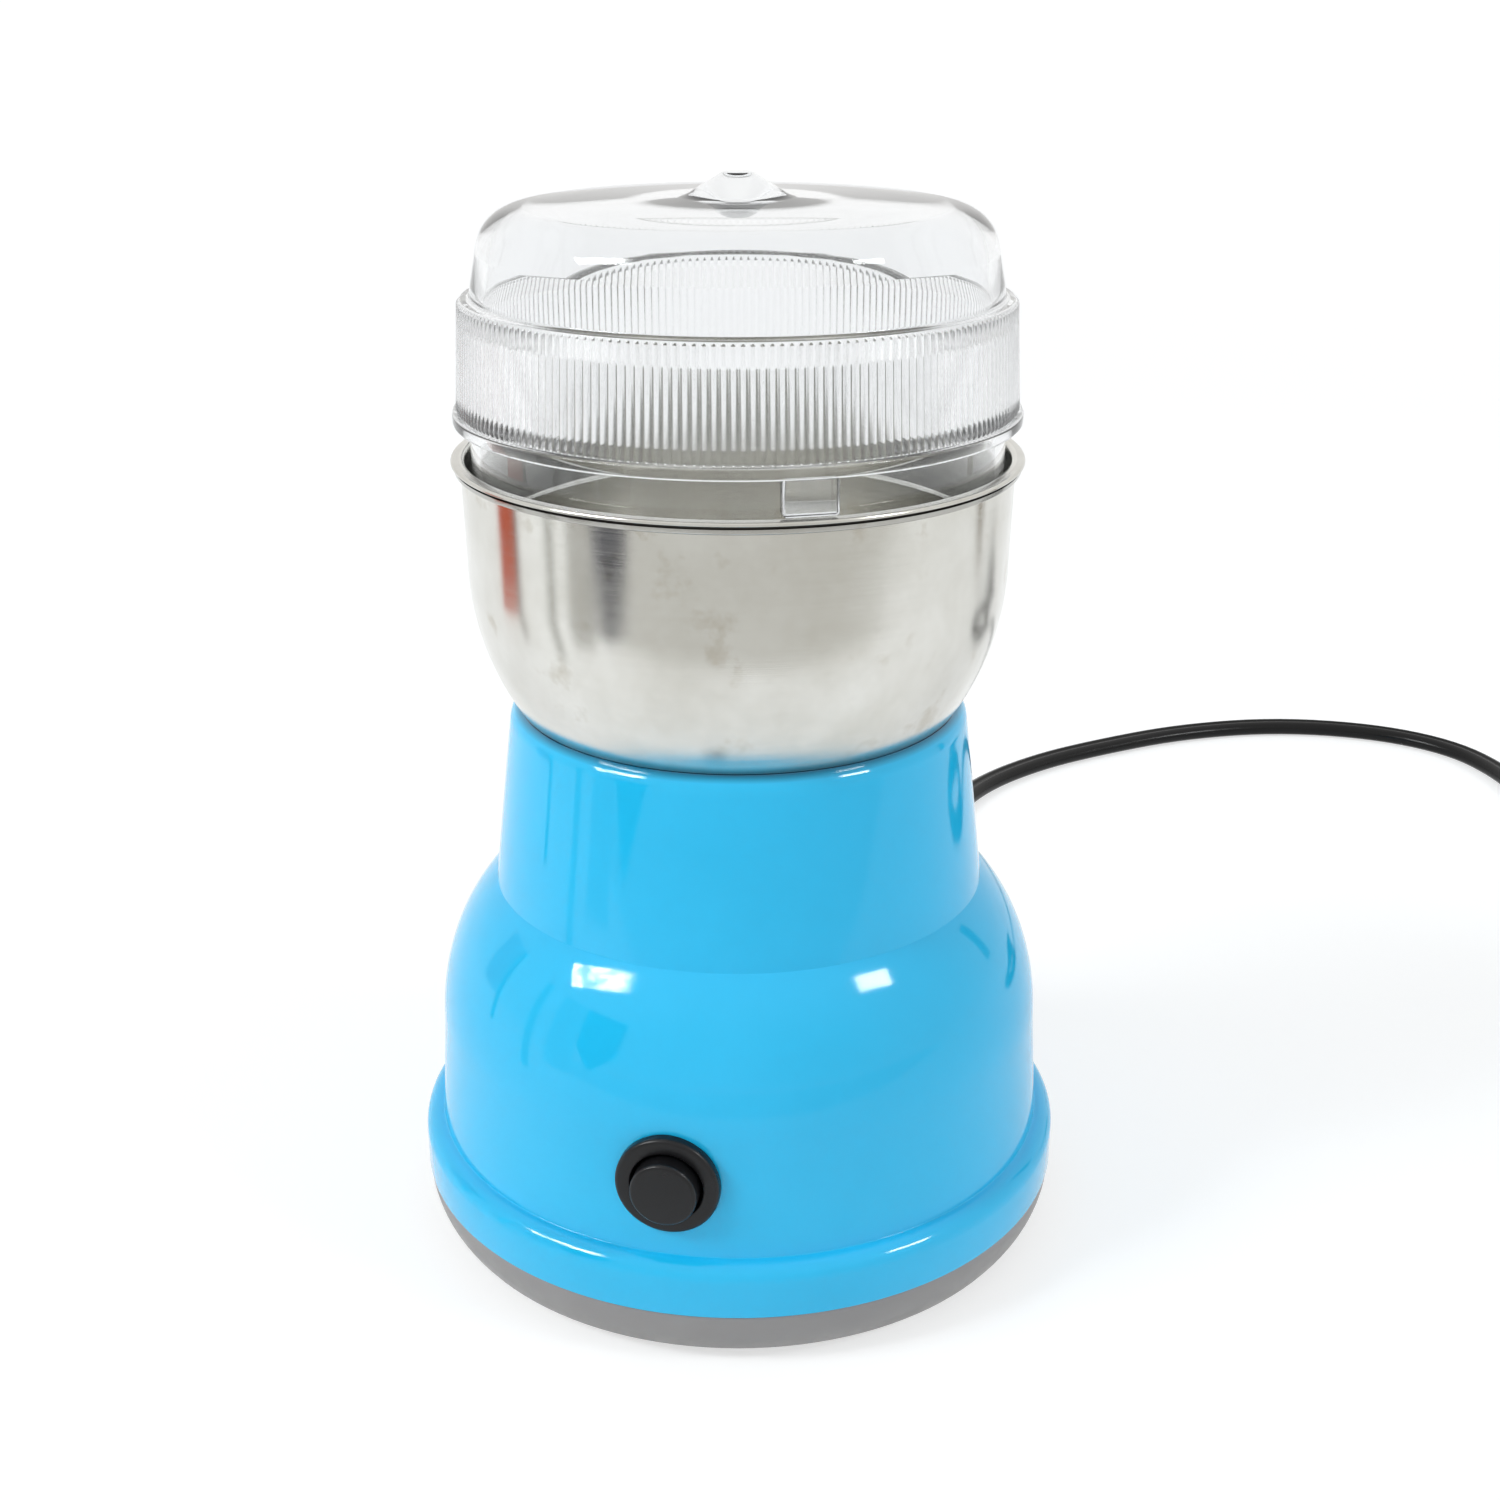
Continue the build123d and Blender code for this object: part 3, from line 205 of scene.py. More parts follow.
def turn_and_place(bm, degree, axis, place):
    """Turns a mesh about an axis through the origin, then moves it, in degrees and millimetres."""
    there = Matrix.Translation([value * MM for value in place]) @ Matrix.Rotation(radians(degree), 4, axis)
    bmesh.ops.transform(bm, matrix=there, verts=bm.verts)


def towards_back(bm, y, z):
    """Lays a form spun about +Z along +Y, with its foot at a depth and height in millimetres."""
    turn_and_place(bm, -90, "X", (0, y, z))


def towards_front(bm, y, z):
    """Lays a form spun about +Z along -Y, with its foot at a depth and height in millimetres."""
    turn_and_place(bm, 90, "X", (0, y, z))


def drill(radius, depth, y, z, segments=64):
    """Round cutter along Y, centred at a depth and height, in millimetres."""
    bm = bmesh.new()
    bmesh.ops.create_cone(
        bm, cap_ends=True, segments=segments, radius1=radius * MM, radius2=radius * MM, depth=depth * MM,
    )
    towards_back(bm, y, z)
    return bm


def piece(name, bm, body, slot, material, *nodes, crease=35):
    """Makes a mesh into a piece that rides on a body and stands for CAD nodes."""
    made = object_of(name, bm)
    for polygon in made.data.polygons:
        polygon.use_smooth = True
    made.data.set_sharp_from_angle(angle=radians(crease))
    made.data.materials.append(material)
    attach(made, body)
    if nodes:
        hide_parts(*nodes)
    return made


def cut(target, cutters):
    """Subtracts closed meshes from a piece and keeps the result."""
    for bm in cutters:
        tool = object_of("cutter", bm)
        modifier = target.modifiers.new("cut", "BOOLEAN")
        modifier.operation = "DIFFERENCE"
        modifier.solver = "EXACT"
        modifier.object = tool
        bpy.context.view_layer.update()
        result = bpy.data.meshes.new_from_object(target.evaluated_get(bpy.context.evaluated_depsgraph_get()))
        target.modifiers.clear()
        old, target.data = target.data, result
        tool_mesh = tool.data
        bpy.data.objects.remove(tool)
        bpy.data.meshes.remove(old)
        bpy.data.meshes.remove(tool_mesh)
    target.data.set_sharp_from_angle(angle=radians(30))


# ---- Material helpers ----


def screen(red, green, blue):
    """Linear colour of an 8-bit screen colour."""
    return tuple(((c / 255 + 0.055) / 1.055) ** 2.4 for c in (red, green, blue)) + (1.0,)


def toned(colour, factor):
    """Colour made lighter or darker by a factor, no brighter than white."""
    return tuple(min(1.0, c * factor) for c in colour[:3]) + (1.0,)


class Finish:
    """A node material, with short calls for its nodes."""

    def __init__(self, name):
        self.material = bpy.data.materials.new(name)
        self.material.use_nodes = True
        self.tree = self.material.node_tree
        self.tree.nodes.clear()
        self.output = self.node("ShaderNodeOutputMaterial")
        self.shader = self.node("ShaderNodeBsdfPrincipled")
        self.link(self.shader.outputs[0], self.output.inputs["Surface"])
        self.place = self.node("ShaderNodeTexCoord").outputs["Object"]

    def node(self, kind, **values):
        """New node. A value goes to the socket of its name, or else to the node's own setting."""
        made = self.tree.nodes.new(kind)
        for key, value in values.items():
            socket = made.inputs.get(key.replace("_", " "))
            if socket is not None:
                self.feed(socket, value)
            else:
                setattr(made, key, value)
        return made

    def feed(self, socket, value):
        """Links a socket or a node's first output, or sets a plain value."""
        if isinstance(value, bpy.types.NodeSocket):
            self.link(value, socket)
        elif isinstance(value, bpy.types.Node):
            self.link(value.outputs[0], socket)
        else:
            socket.default_value = value

    def link(self, source, socket):
        self.tree.links.new(source, socket)

    def set(self, **values):
        """Feeds the surface shader's own sockets."""
        for key, value in values.items():
            self.feed(self.shader.inputs[key.replace("_", " ")], value)

    def height(self):
        """Height on the piece, in metres."""
        return self.node("ShaderNodeSeparateXYZ", Vector=self.place).outputs["Z"]

    def stretched(self, scale):
        """Places on the piece with each axis scaled, which draws a pattern out along the lesser ones."""
        mapping = self.node("ShaderNodeMapping", Vector=self.place)
        mapping.inputs["Scale"].default_value = scale
        return mapping.outputs[0]

    def noise(self, scale, detail=3.0, rough=0.5, place=None):
        made = self.node(
            "ShaderNodeTexNoise", Vector=place or self.place, Scale=scale, Detail=detail, Roughness=rough,
        )
        return made.outputs["Fac"]

    def ramp(self, value, *stops):
        """Grey ramp from stops (position, grey)."""
        made = self.node("ShaderNodeValToRGB", Fac=value)
        stop_list = made.color_ramp.elements
        while len(stop_list) < len(stops):
            stop_list.new(0.5)
        for element, (position, grey) in zip(stop_list, stops):
            element.position = position
            element.color = (grey, grey, grey, 1)
        return made.outputs["Color"]

    def span(self, value, low, high, to_low, to_high):
        """Value between two limits, carried over to two others and held there."""
        return self.node(
            "ShaderNodeMapRange", Value=value, From_Min=low, From_Max=high, To_Min=to_low, To_Max=to_high,
        ).outputs["Result"]

    def mixed(self, factor, first, second):
        """Colour between two others."""
        made = self.node("ShaderNodeMix", data_type="RGBA")
        self.feed(made.inputs[0], factor)
        self.feed(made.inputs[6], first)
        self.feed(made.inputs[7], second)
        return made.outputs[2]

    def maths(self, operation, first, second=0.0):
        made = self.node("ShaderNodeMath", operation=operation)
        self.feed(made.inputs[0], first)
        self.feed(made.inputs[1], second)
        return made.outputs[0]

    def bump(self, height, distance, normal=None):
        """Normal raised by a height over a distance in metres, on top of another if given."""
        made = self.node("ShaderNodeBump", Height=height, Distance=distance)
        if normal is not None:
            self.feed(made.inputs["Normal"], normal)
        return made.outputs["Normal"]

    def join(self, factor, first, second):
        """Surface that goes from one shader to another."""
        made = self.node("ShaderNodeMixShader")
        self.feed(made.inputs[0], factor)
        self.link(first.outputs[0], made.inputs[1])
        self.link(second.outputs[0], made.inputs[2])
        self.link(made.outputs[0], self.output.inputs["Surface"])


def moulded(name, colour, roughness, grain, depth, mottle, **extra):
    """Moulded plastic or rubber: close tones, slightly uneven gloss and a fine skin."""
    f = Finish(name)
    cloud = f.span(f.noise(60, 4.0), 0.3, 0.7, 0, 1)
    f.set(Base_Color=f.mixed(cloud, toned(colour, 1 - mottle), toned(colour, 1 + mottle)))
    f.set(Roughness=f.span(f.noise(grain * 0.3, 3.0), 0.3, 0.7, roughness * 0.85, roughness * 1.15))
    f.set(Normal=f.bump(f.noise(grain, 2.0), depth))
    f.set(**extra)
    return f.material


def metal(name, colour, roughness, stretch, grain, depth, mottle):
    """Worked metal: grain drawn along one way, with patches of duller skin."""
    f = Finish(name)
    lines = f.noise(grain, 3.0, 0.6, f.stretched(stretch))
    patches = f.span(f.noise(90, 4.0), 0.35, 0.7, 0, 1)
    f.set(Metallic=1.0, Base_Color=f.mixed(patches, colour, toned(colour, 1 - mottle)))
    f.set(Roughness=f.span(lines, 0.3, 0.7, roughness * 0.8, roughness * 1.25))
    f.set(Normal=f.bump(lines, depth))
    return f.material


# ---- Camera ----

camera_data = bpy.data.cameras.new("camera")
camera_data.lens = 48.07
camera_data.sensor_width = 36
camera_data.sensor_fit = "HORIZONTAL"
camera = bpy.data.objects.new("camera", camera_data)
camera.location = (0.0603, -0.2765, 0.1862)
camera.rotation_euler = (radians(68.59), 0, radians(11.957))
bpy.context.scene.collection.objects.link(camera)
bpy.context.scene.camera = camera

# The room is laid out round the grinder's middle, from the camera's side of it, in degrees and metres.
camera_side = 12.3
room_middle = Vector((0, 0, 0.07))


def round_table(angle, elevation, distance):
    """Place seen from the grinder at an angle to the right of the camera and an elevation."""
    turn, up = radians(angle + camera_side), radians(elevation)
    return room_middle + Vector((sin(turn) * cos(up), -cos(turn) * cos(up), sin(up))) * distance


# ---- Cord, coil and plug ----

cord_lobe = [(-1.1, -1.7), (0, -1.35), (1.1, -1.7), (2.8, 0), (1.1, 1.7), (0, 1.35), (-1.1, 1.7), (-2.8, 0)]
route = [
    (0, 34.15, 24), (0, 58, 24), (0, 80.04, 24), (2.4, 97.9, 16.56), (5.6, 114.2, 6.96), (10, 131.04, 3.0),
    (15.4, 151, 1.9), (21.5, 172, 1.8), (34, 190, 1.8), (49, 204, 1.8), (68.8, 219.2, 1.8), (93, 229.5, 1.8),
    (118, 230, 1.8), (136.5, 222, 1.8), (146.5, 207, 1.8), (150.6, 192, 1.8), (150.9, 178, 1.8),
]
coil_x, coil_y = 190.2, 178.0
# Turn of the coil in degrees, radius and height: inwards on the floor, up, and outwards on top.
winding = [
    (180, 39.3, 1.8), (270, 33.3, 2.55), (480, 33.3, 2.55), (600, 27.5, 2.55), (780, 27.5, 2.55),
    (850, 27.5, 5.95), (1020, 27.5, 5.95), (1140, 33.3, 5.95), (1350, 33.3, 5.95), (1440, 39.3, 5.4),
]
coil_step = 20
# Control points lie a little outside the turns that they draw.
coil_spread = 1.015
tail = [(229.3, 184.5, 5.3), (229.1, 191, 5.44), (227.1, 204, 6.4), (224.3, 217, 6.85)]


def coil_points():
    """Points of the put-away turns, one each coil_step degrees."""
    points = []
    for (a, ra, za), (b, rb, zb) in zip(winding, winding[1:]):
        steps = round((b - a) / coil_step)
        for i in range(1, steps + 1):
            t = i / steps
            turn, radius = radians(a + (b - a) * t), (ra + (rb - ra) * t) * coil_spread
            points.append((coil_x + radius * cos(turn), coil_y + radius * sin(turn), za + (zb - za) * t))
    return points


def make_cord_section():
    """Flat twin section, hidden, that the cord is drawn with."""
    section = bpy.data.curves.new("cord_section", "CURVE")
    section.dimensions = "2D"
    shape = section.splines.new("BEZIER")
    shape.bezier_points.add(len(cord_lobe) - 1)
    for point, (x, y) in zip(shape.bezier_points, cord_lobe):
        point.co = (x * MM, y * MM, 0)
        point.handle_left_type = point.handle_right_type = "AUTO"
    shape.use_cyclic_u = True
    made = bpy.data.objects.new("cord_section", section)
    bpy.context.scene.collection.objects.link(made)
    made.hide_render = True
    made.hide_viewport = True
    return made


def make_cord(material):
    """Flat twin cord: one line from the clamp through the coil to the plug."""
    curve = bpy.data.curves.new("mains_cord", "CURVE")
    curve.dimensions = "3D"
    curve.twist_mode = "Z_UP"
    curve.resolution_u = 6
    curve.bevel_mode = "OBJECT"
    curve.bevel_object = make_cord_section()
    curve.use_fill_caps = True
    line = curve.splines.new("NURBS")
    points = route + coil_points() + tail
    line.points.add(len(points) - 1)
    for point, (x, y, z) in zip(line.points, points):
        point.co = (x * MM, y * MM, z * MM, 1)
    line.order_u = 3
    line.use_endpoint_u = True
    cord = bpy.data.objects.new("mains_cord", curve)
    bpy.context.scene.collection.objects.link(cord)
    curve.materials.append(material)
    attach(cord, "base")
    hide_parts("power_cord", "cord_coil", "cord_tail")
    return cord


def make_relief(material):
    """Rubber bush: a flange on each side of the wall and a tapered, grooved tail round the cord."""
    bore, flange, neck = 2.95, 6.2, 4.5
    inner_flange_y, wall_y, outer_flange_y, end_y = 42.15, 44.15, 47.4, 69.4
    first_ring_y, pitch, ring_count, ring_radius, taper = 50.2, 2.74, 7, 5.3, 0.25
    runs = [
        (bore, inner_flange_y, 0.2), (flange, inner_flange_y, 0.4), (flange, wall_y, 0.4), (neck, wall_y),
        (neck, outer_flange_y), (flange, outer_flange_y, 0.3), (flange, outer_flange_y + 2.0, 0.6),
    ]
    for i in range(ring_count):
        start, radius = first_ring_y + pitch * i, ring_radius - taper * i
        runs += [(radius, start + 0.2, 0.3), (radius - 0.1, start + pitch - 0.9, 0.3)]
        if i < ring_count - 1:
            groove = max(radius - 0.9, 3.3)
            runs += [(groove, start + pitch - 0.8), (groove, start + pitch)]
    runs += [(bore, end_y)]
    bm = spin(outline(*runs, closed=True), 64)
    towards_back(bm, 0, bush_z)
    return piece("cord_bush", bm, "base", "rubber_black", material, "strain_relief")


def make_tie(material):
    """Band round the coil's turns, with rounded edges."""
    low, high = 0.1, 8.7
    length, width, thickness, turns_radius = 13.4, 6.0, 0.55, 30.4
    bm = bmesh.new()
    block(bm, (length, width, high - low), (0, 0, (low + high) / 2))
    ends = [face for face in bm.faces if abs(face.normal.y) > 0.9]
    bmesh.ops.delete(bm, geom=ends, context="FACES_ONLY")
    corners = [edge for edge in bm.edges if len(edge.link_faces) == 2]
    bmesh.ops.bevel(
        bm, geom=corners, offset=1.4 * MM, affect="EDGES", segments=4, profile=0.5, material=-1,
    )
    bmesh.ops.recalc_face_normals(bm, faces=bm.faces)
    bmesh.ops.solidify(bm, geom=bm.faces[:], thickness=thickness * MM)
    turn_and_place(bm, -90, "Z", (coil_x, coil_y - turns_radius, 0))
    return piece("coil_band", bm, "base", "rubber_black", material, "coil_tie")


def make_plug(material):
    """Moulded plug body with rounded edges and a tapered neck, over the roots of its pins."""
    # Distance from the cord's end, half width and half thickness.
    stations = [(0, 3.8, 3.8), (14, 5.5, 4.9), (32, 17.65, 6.85), (45, 17.65, 6.85), (48, 13.65, 6.7)]
    corners = ((-1, -1), (1, -1), (1, 1), (-1, 1))
    plug_turn = 102
    bm = bmesh.new()
    rings = [
        [bm.verts.new((x * MM, y * half_width * MM, z * half_height * MM)) for y, z in corners]
        for x, half_width, half_height in stations
    ]
    for a, b in zip(rings, rings[1:]):
        for i in range(4):
            bm.faces.new((a[i], a[(i + 1) % 4], b[(i + 1) % 4], b[i]))
    bm.faces.new(rings[0])
    bm.faces.new(rings[-1])
    bmesh.ops.recalc_face_normals(bm, faces=bm.faces)
    # The long edges are rounded more than the blunt ones across the body.
    for least_angle, rounding in ((60, 1.9), (25, 0.9)):
        edges = [edge for edge in bm.edges if edge.calc_face_angle(0) > radians(least_angle)]
        bmesh.ops.bevel(
            bm, geom=edges, offset=rounding * MM, affect="EDGES", segments=4, profile=0.5, material=-1,
            clamp_overlap=True,
        )
    turn_and_place(bm, plug_turn, "Z", tail[-1])
    return piece("plug_moulding", bm, "base", "cord_black", material, "plug_body")


# ---- Housing, cup, lid and switch ----


def make_housing(material):
    """Blue shell: collar, belly, shoulder, neck, the seat of the cup and the hollow inside."""
    shoulder_middle = shoulder_radius - shoulder_width
    shoulder_end = degrees(acos((neck_base_radius - shoulder_middle) / shoulder_width))
    inner_width = shoulder_width - housing_wall
    inner_end = degrees(acos((neck_base_radius - housing_wall - shoulder_middle) / inner_width))
    collar_inner = collar_radius - housing_wall
    collar_width = collar_radius - belly_radius
    seat = bowl_radius + seat_gap
    seat_start = -degrees(asin((bowl_z - lip_z) / seat))
    seat_end = -degrees(asin((bowl_z - deck_top_z) / seat))
    hole = bush_hole + 0.2
    bm = outline(
        (collar_inner, seam_z + 0.4, 0.3), (collar_inner, seam_z, 0.2), (collar_radius, seam_z, 0.35),
        ((belly_radius, collar_top_z - collar_round), (collar_width, collar_round), 0, 82, 14),
        (belly_radius, collar_top_z + 0.03, 0.2),
        ((shoulder_middle, shoulder_z), (shoulder_width, shoulder_rise), 0, shoulder_end, 28),
        (neck_base_radius - 0.02, crease_z + 0.1, 0.8), (lip_centre, (lip_round, lip_round), 6.8, 62, 8),
        ((0, bowl_z), (seat, seat), seat_start, seat_end, 12),
        (hole, deck_top_z), (hole, deck_z), (neck_top_radius - housing_wall + 1.2, deck_z),
        ((shoulder_middle, shoulder_z), (inner_width, shoulder_rise - housing_wall), inner_end, 0, 12),
        (belly_radius - housing_wall, collar_top_z - housing_wall),
        (collar_inner, collar_top_z - housing_wall - 1),
        closed=True,
    )
    housing = piece("housing_shell", spin(bm, 192), "base", "blue_housing", material, "housing")
    barrel_hole = drill(6.1, 9, -45.5, button_z)
    ring_seat = drill(7.62, 6, -switch_face - 3, button_z)
    bush_bore = drill(4.6, 9, 46, bush_z, segments=48)
    cut(housing, [barrel_hole, ring_seat, bush_bore])


def make_cup(material):
    """Spun bowl: a thin sheet with a rolled rim over a groove, and a hole for the bush."""
    drop = bowl_z - cup_bottom_z
    inner = bowl_radius - cup_wall
    start = -degrees(asin((drop - 1.7) / bowl_radius))
    inner_start = -degrees(asin((drop - cup_wall - 1.4) / inner))
    bottom_radius = sqrt(bowl_radius**2 - drop**2)
    hole = bush_hole + 0.1
    groove = rim_radius - 0.95
    inner_bottom_z = cup_bottom_z + cup_wall
    bm = outline(
        (hole, cup_bottom_z), (bottom_radius - 2.6, cup_bottom_z, 2.0),
        ((0, bowl_z), (bowl_radius, bowl_radius), start, 0, 36),
        (bowl_radius + cup_flare, rim_z - 1.75), (rim_radius - 0.5, rim_z - 1.75, 0.3),
        (rim_radius - 0.4, rim_z - 1.0), (groove, rim_z - 0.95), (groove, rim_z - 0.6),
        (rim_radius, rim_z - 0.55, 0.12), (rim_radius, rim_z, 0.45), (inner + cup_flare, rim_z, 0.6),
        ((0, bowl_z), (inner, inner), 0, inner_start, 36),
        (bottom_radius - 3.3, inner_bottom_z, 1.6), (hole, inner_bottom_z),
        closed=True,
    )
    piece("spun_cup", spin(bm, 192), "base", "cup_steel", material, "grinding_cup")


def lid_outline():
    """Clear lid from the nub outwards and down, and back up inside, one wall thick."""
    half_wall = lid_wall / 2
    dome_height = crown_z - dome_wall_z
    inner_crown = crown_radius - half_wall
    inner_dome = dome_radius - lid_wall
    return outline(
        (0, lid_top_z), (2.0, lid_top_z - 0.1, 1.0), (7.4, nub_z + 0.1, 3.0),
        (crown_radius * 0.55, nub_z - 0.3), (crown_radius * 0.8, crown_z + 0.28),
        ((crown_radius, dome_wall_z), (dome_radius - crown_radius, dome_height), 84, 0, 14),
        (dome_base_radius, ledge_z, 0.5), (band_top_radius, ledge_z, 0.35),
        (band_top_radius + 0.02, ledge_z - 0.6), (band_bottom_radius - 0.03, band_z + 0.5),
        (band_bottom_radius, band_z + 0.1), (lid_flange_radius, band_z, 0.4),
        (lid_flange_radius, lid_flange_z, 0.4), (skirt_radius, lid_flange_z, 0.4),
        (skirt_radius, skirt_z, 0.5), (skirt_radius - lid_wall, skirt_z, 0.5),
        (skirt_radius - lid_wall, band_z, 0.8),
        (band_top_radius - lid_wall, band_z + lid_wall, 0.8),
        (band_top_radius - lid_wall, ledge_z - 2 * lid_wall, 1.0),
        (dome_base_radius - lid_wall, ledge_z - half_wall, 1.0),
        ((inner_crown, dome_wall_z - half_wall), (inner_dome - inner_crown, dome_height), 0, 86, 12),
        (0, nub_z - 0.5),
    )


def make_lid(material):
    """Clear moulding with ribs all round its band and three lugs on the rim."""
    bm = lid_outline()
    # One rib's sector in six steps; its band bulges, and the sector is repeated all round.
    steps = 6
    sector = 2 * pi / rib_count
    rib_foot_z, rib_top_z, rib_root = band_z + 0.45, ledge_z - 0.5, band_top_radius - 0.3
    bmesh.ops.spin(
        bm, geom=bm.verts[:] + bm.edges[:], cent=(0, 0, 0), axis=(0, 0, 1), angle=sector, steps=steps,
        use_merge=False, use_duplicate=False,
    )
    for column in range(1, steps):
        turn = sector * column / steps
        ridge = [
            v for v in bm.verts
            if rib_foot_z * MM < v.co.z < rib_top_z * MM
            and hypot(v.co.x, v.co.y) > rib_root * MM
            and abs(v.co.y - v.co.x * tan(turn)) < 1e-6
        ]
        grow = 1 + rib_depth * sin(pi * column / steps) / band_top_radius
        bmesh.ops.scale(bm, vec=(grow, grow, 1), verts=ridge)
    bmesh.ops.spin(
        bm, geom=bm.verts[:] + bm.edges[:] + bm.faces[:], cent=(0, 0, 0), axis=(0, 0, 1),
        angle=2 * pi - sector, steps=rib_count - 1, use_merge=False, use_duplicate=True,
    )
    bmesh.ops.remove_doubles(bm, verts=bm.verts, dist=2e-6)
    bmesh.ops.recalc_face_normals(bm, faces=bm.faces)
    lug_low, lug_high = rim_z + 0.3, lid_flange_z + 0.1
    for turn in lug_angles:
        lug = block(bm, (2.7, 7.2, lug_high - lug_low), (lug_radius, 0, (lug_low + lug_high) / 2), 0.3)
        towards_lug = Matrix.Rotation(radians(turn - 90), 3, "Z")
        bmesh.ops.rotate(bm, cent=(0, 0, 0), matrix=towards_lug, verts=lug)
    piece("lid_moulding", bm, "lid", "clear_lid", material, "clear_lid", crease=40)


def make_switch(material):
    """Ring with the button's well and barrel, and the button in it."""
    well, barrel, ring, stem_bore = 5.2, 5.9, 7.5, 2.45
    well_floor, barrel_end = -9.6, -15.0
    bm = outline(
        (well, 0, 0.25), (ring, 0, 0.65), (ring, -ring_proud, 0.1), (barrel, -ring_proud),
        (barrel, barrel_end, 0.2), (stem_bore, barrel_end), (stem_bore, well_floor), (well, well_floor),
        closed=True,
    )
    spin(bm, 96)
    towards_front(bm, -switch_face - ring_proud, button_z)
    piece("switch_ring", bm, "base", "black_plastic", material, "switch_body")

    button, stem = 4.8, 2.4
    button_top, button_foot, stem_end = 2.25, -4.2, -11.0
    bm = outline(
        (0, button_top), (button, button_top, 0.55), (button, button_foot, 0.2), (stem, button_foot),
        (stem, stem_end, 0.2), (0, stem_end),
    )
    spin(bm, 96)
    towards_front(bm, -switch_face - ring_proud, button_z)
    piece("push_button", bm, "button", "black_plastic", material, "button_cap")


# ---- Materials ----


def blue_plastic():
    """Glossy moulded blue with a faint wave in its skin, and painted shade on the lip under the cup."""
    painted_shade_z = 83.4
    f = Finish("blue_moulding")
    cloud = f.noise(35, 4.0, 0.55)
    skin = f.mixed(f.span(cloud, 0.3, 0.7, 0, 1), screen(26, 187, 237), screen(34, 191, 242))
    # Painted shade: the base colour darkens to deep blue towards the lip, where the cup overhangs the neck.
    painted_shade = f.span(f.height(), painted_shade_z * MM, lip_z * MM, 0, 0.85)
    f.set(Base_Color=f.mixed(painted_shade, skin, screen(0, 70, 100)), IOR=1.5)
    f.set(Roughness=f.span(f.noise(120, 4.0), 0.3, 0.75, 0.05, 0.11))
    wave = f.bump(f.noise(70, 2.0, 0.4), 4e-5)
    f.set(Normal=f.bump(f.noise(1500, 2.0), 1.5e-6, wave))
    return f.material


def cup_steel():
    """Spun steel: fine turning lines round the axis, clouds, small stains, and painted shade in the rim's
    groove and under its hem.
    """
    f = Finish("spun_steel")
    lines = f.noise(1.0, 3.0, 0.7, f.stretched((30, 30, 9000)))
    cloud = f.noise(45, 5.0, 0.6)
    base = f.mixed(f.span(cloud, 0.35, 0.7, 0, 1), screen(219, 218, 213), screen(200, 198, 190))
    stain = f.maths("MULTIPLY", f.ramp(f.noise(140, 4.0, 0.6), (0.6, 0), (0.74, 1)), 0.4)
    worn = f.mixed(stain, base, screen(170, 160, 140))

    # Painted shade on the rolled rim: dark in its groove and in a line under its hem, and the hem's band
    # between them a little darker.
    place = f.node("ShaderNodeSeparateXYZ", Vector=f.place).outputs
    square = f.maths("ADD", f.maths("POWER", place["X"], 2), f.maths("POWER", place["Y"], 2))
    rolled = f.maths("GREATER_THAN", f.maths("SQRT", square), (bowl_radius + cup_flare + 0.15) * MM)
    level = f.span(place["Z"], (rim_z - 2) * MM, rim_z * MM, 0, 1)
    painted_shade = f.ramp(level, (0.12, 0.75), (0.2, 0.35), (0.48, 0.35), (0.54, 0.95), (0.7, 0.95), (0.76, 0.1))
    f.set(Base_Color=f.mixed(f.maths("MULTIPLY", rolled, painted_shade), worn, screen(46, 44, 42)), Metallic=1.0)

    smear = f.span(lines, 0.3, 0.7, -0.03, 0.05)
    f.set(Roughness=f.maths("ADD", f.span(cloud, 0.3, 0.7, 0.12, 0.2), smear))
    f.set(Normal=f.bump(lines, 6e-6, f.bump(f.noise(60, 2.0), 2e-5)))
    tangent = f.node("ShaderNodeTangent", direction_type="RADIAL", axis="Z")
    f.set(Anisotropic=0.7, Anisotropic_Rotation=0.25, Tangent=tangent)
    return f.material


def clear_plastic():
    """Clear styrene with a faint haze, duller on the ribs, that lets light through to what it covers."""
    f = Finish("clear_styrene")
    f.set(Base_Color=(0.945, 0.95, 0.955, 1), Transmission_Weight=1.0, IOR=1.4)
    height = f.height()
    above_foot = f.maths("GREATER_THAN", height, (band_z + 0.3) * MM)
    ribbed = f.maths("MULTIPLY", above_foot, f.maths("LESS_THAN", height, (ledge_z - 0.2) * MM))
    haze = f.span(f.noise(160, 3.0), 0.35, 0.75, 0.005, 0.03)
    f.set(Roughness=f.maths("ADD", haze, f.maths("MULTIPLY", ribbed, 0.17)))
    f.set(Normal=f.bump(f.noise(45, 2.0, 0.4), 3e-5))
    see_through = f.node("ShaderNodeBsdfTransparent", Color=(0.93, 0.94, 0.94, 1))
    f.join(f.node("ShaderNodeLightPath").outputs["Is Shadow Ray"], f.shader, see_through)
    return f.material


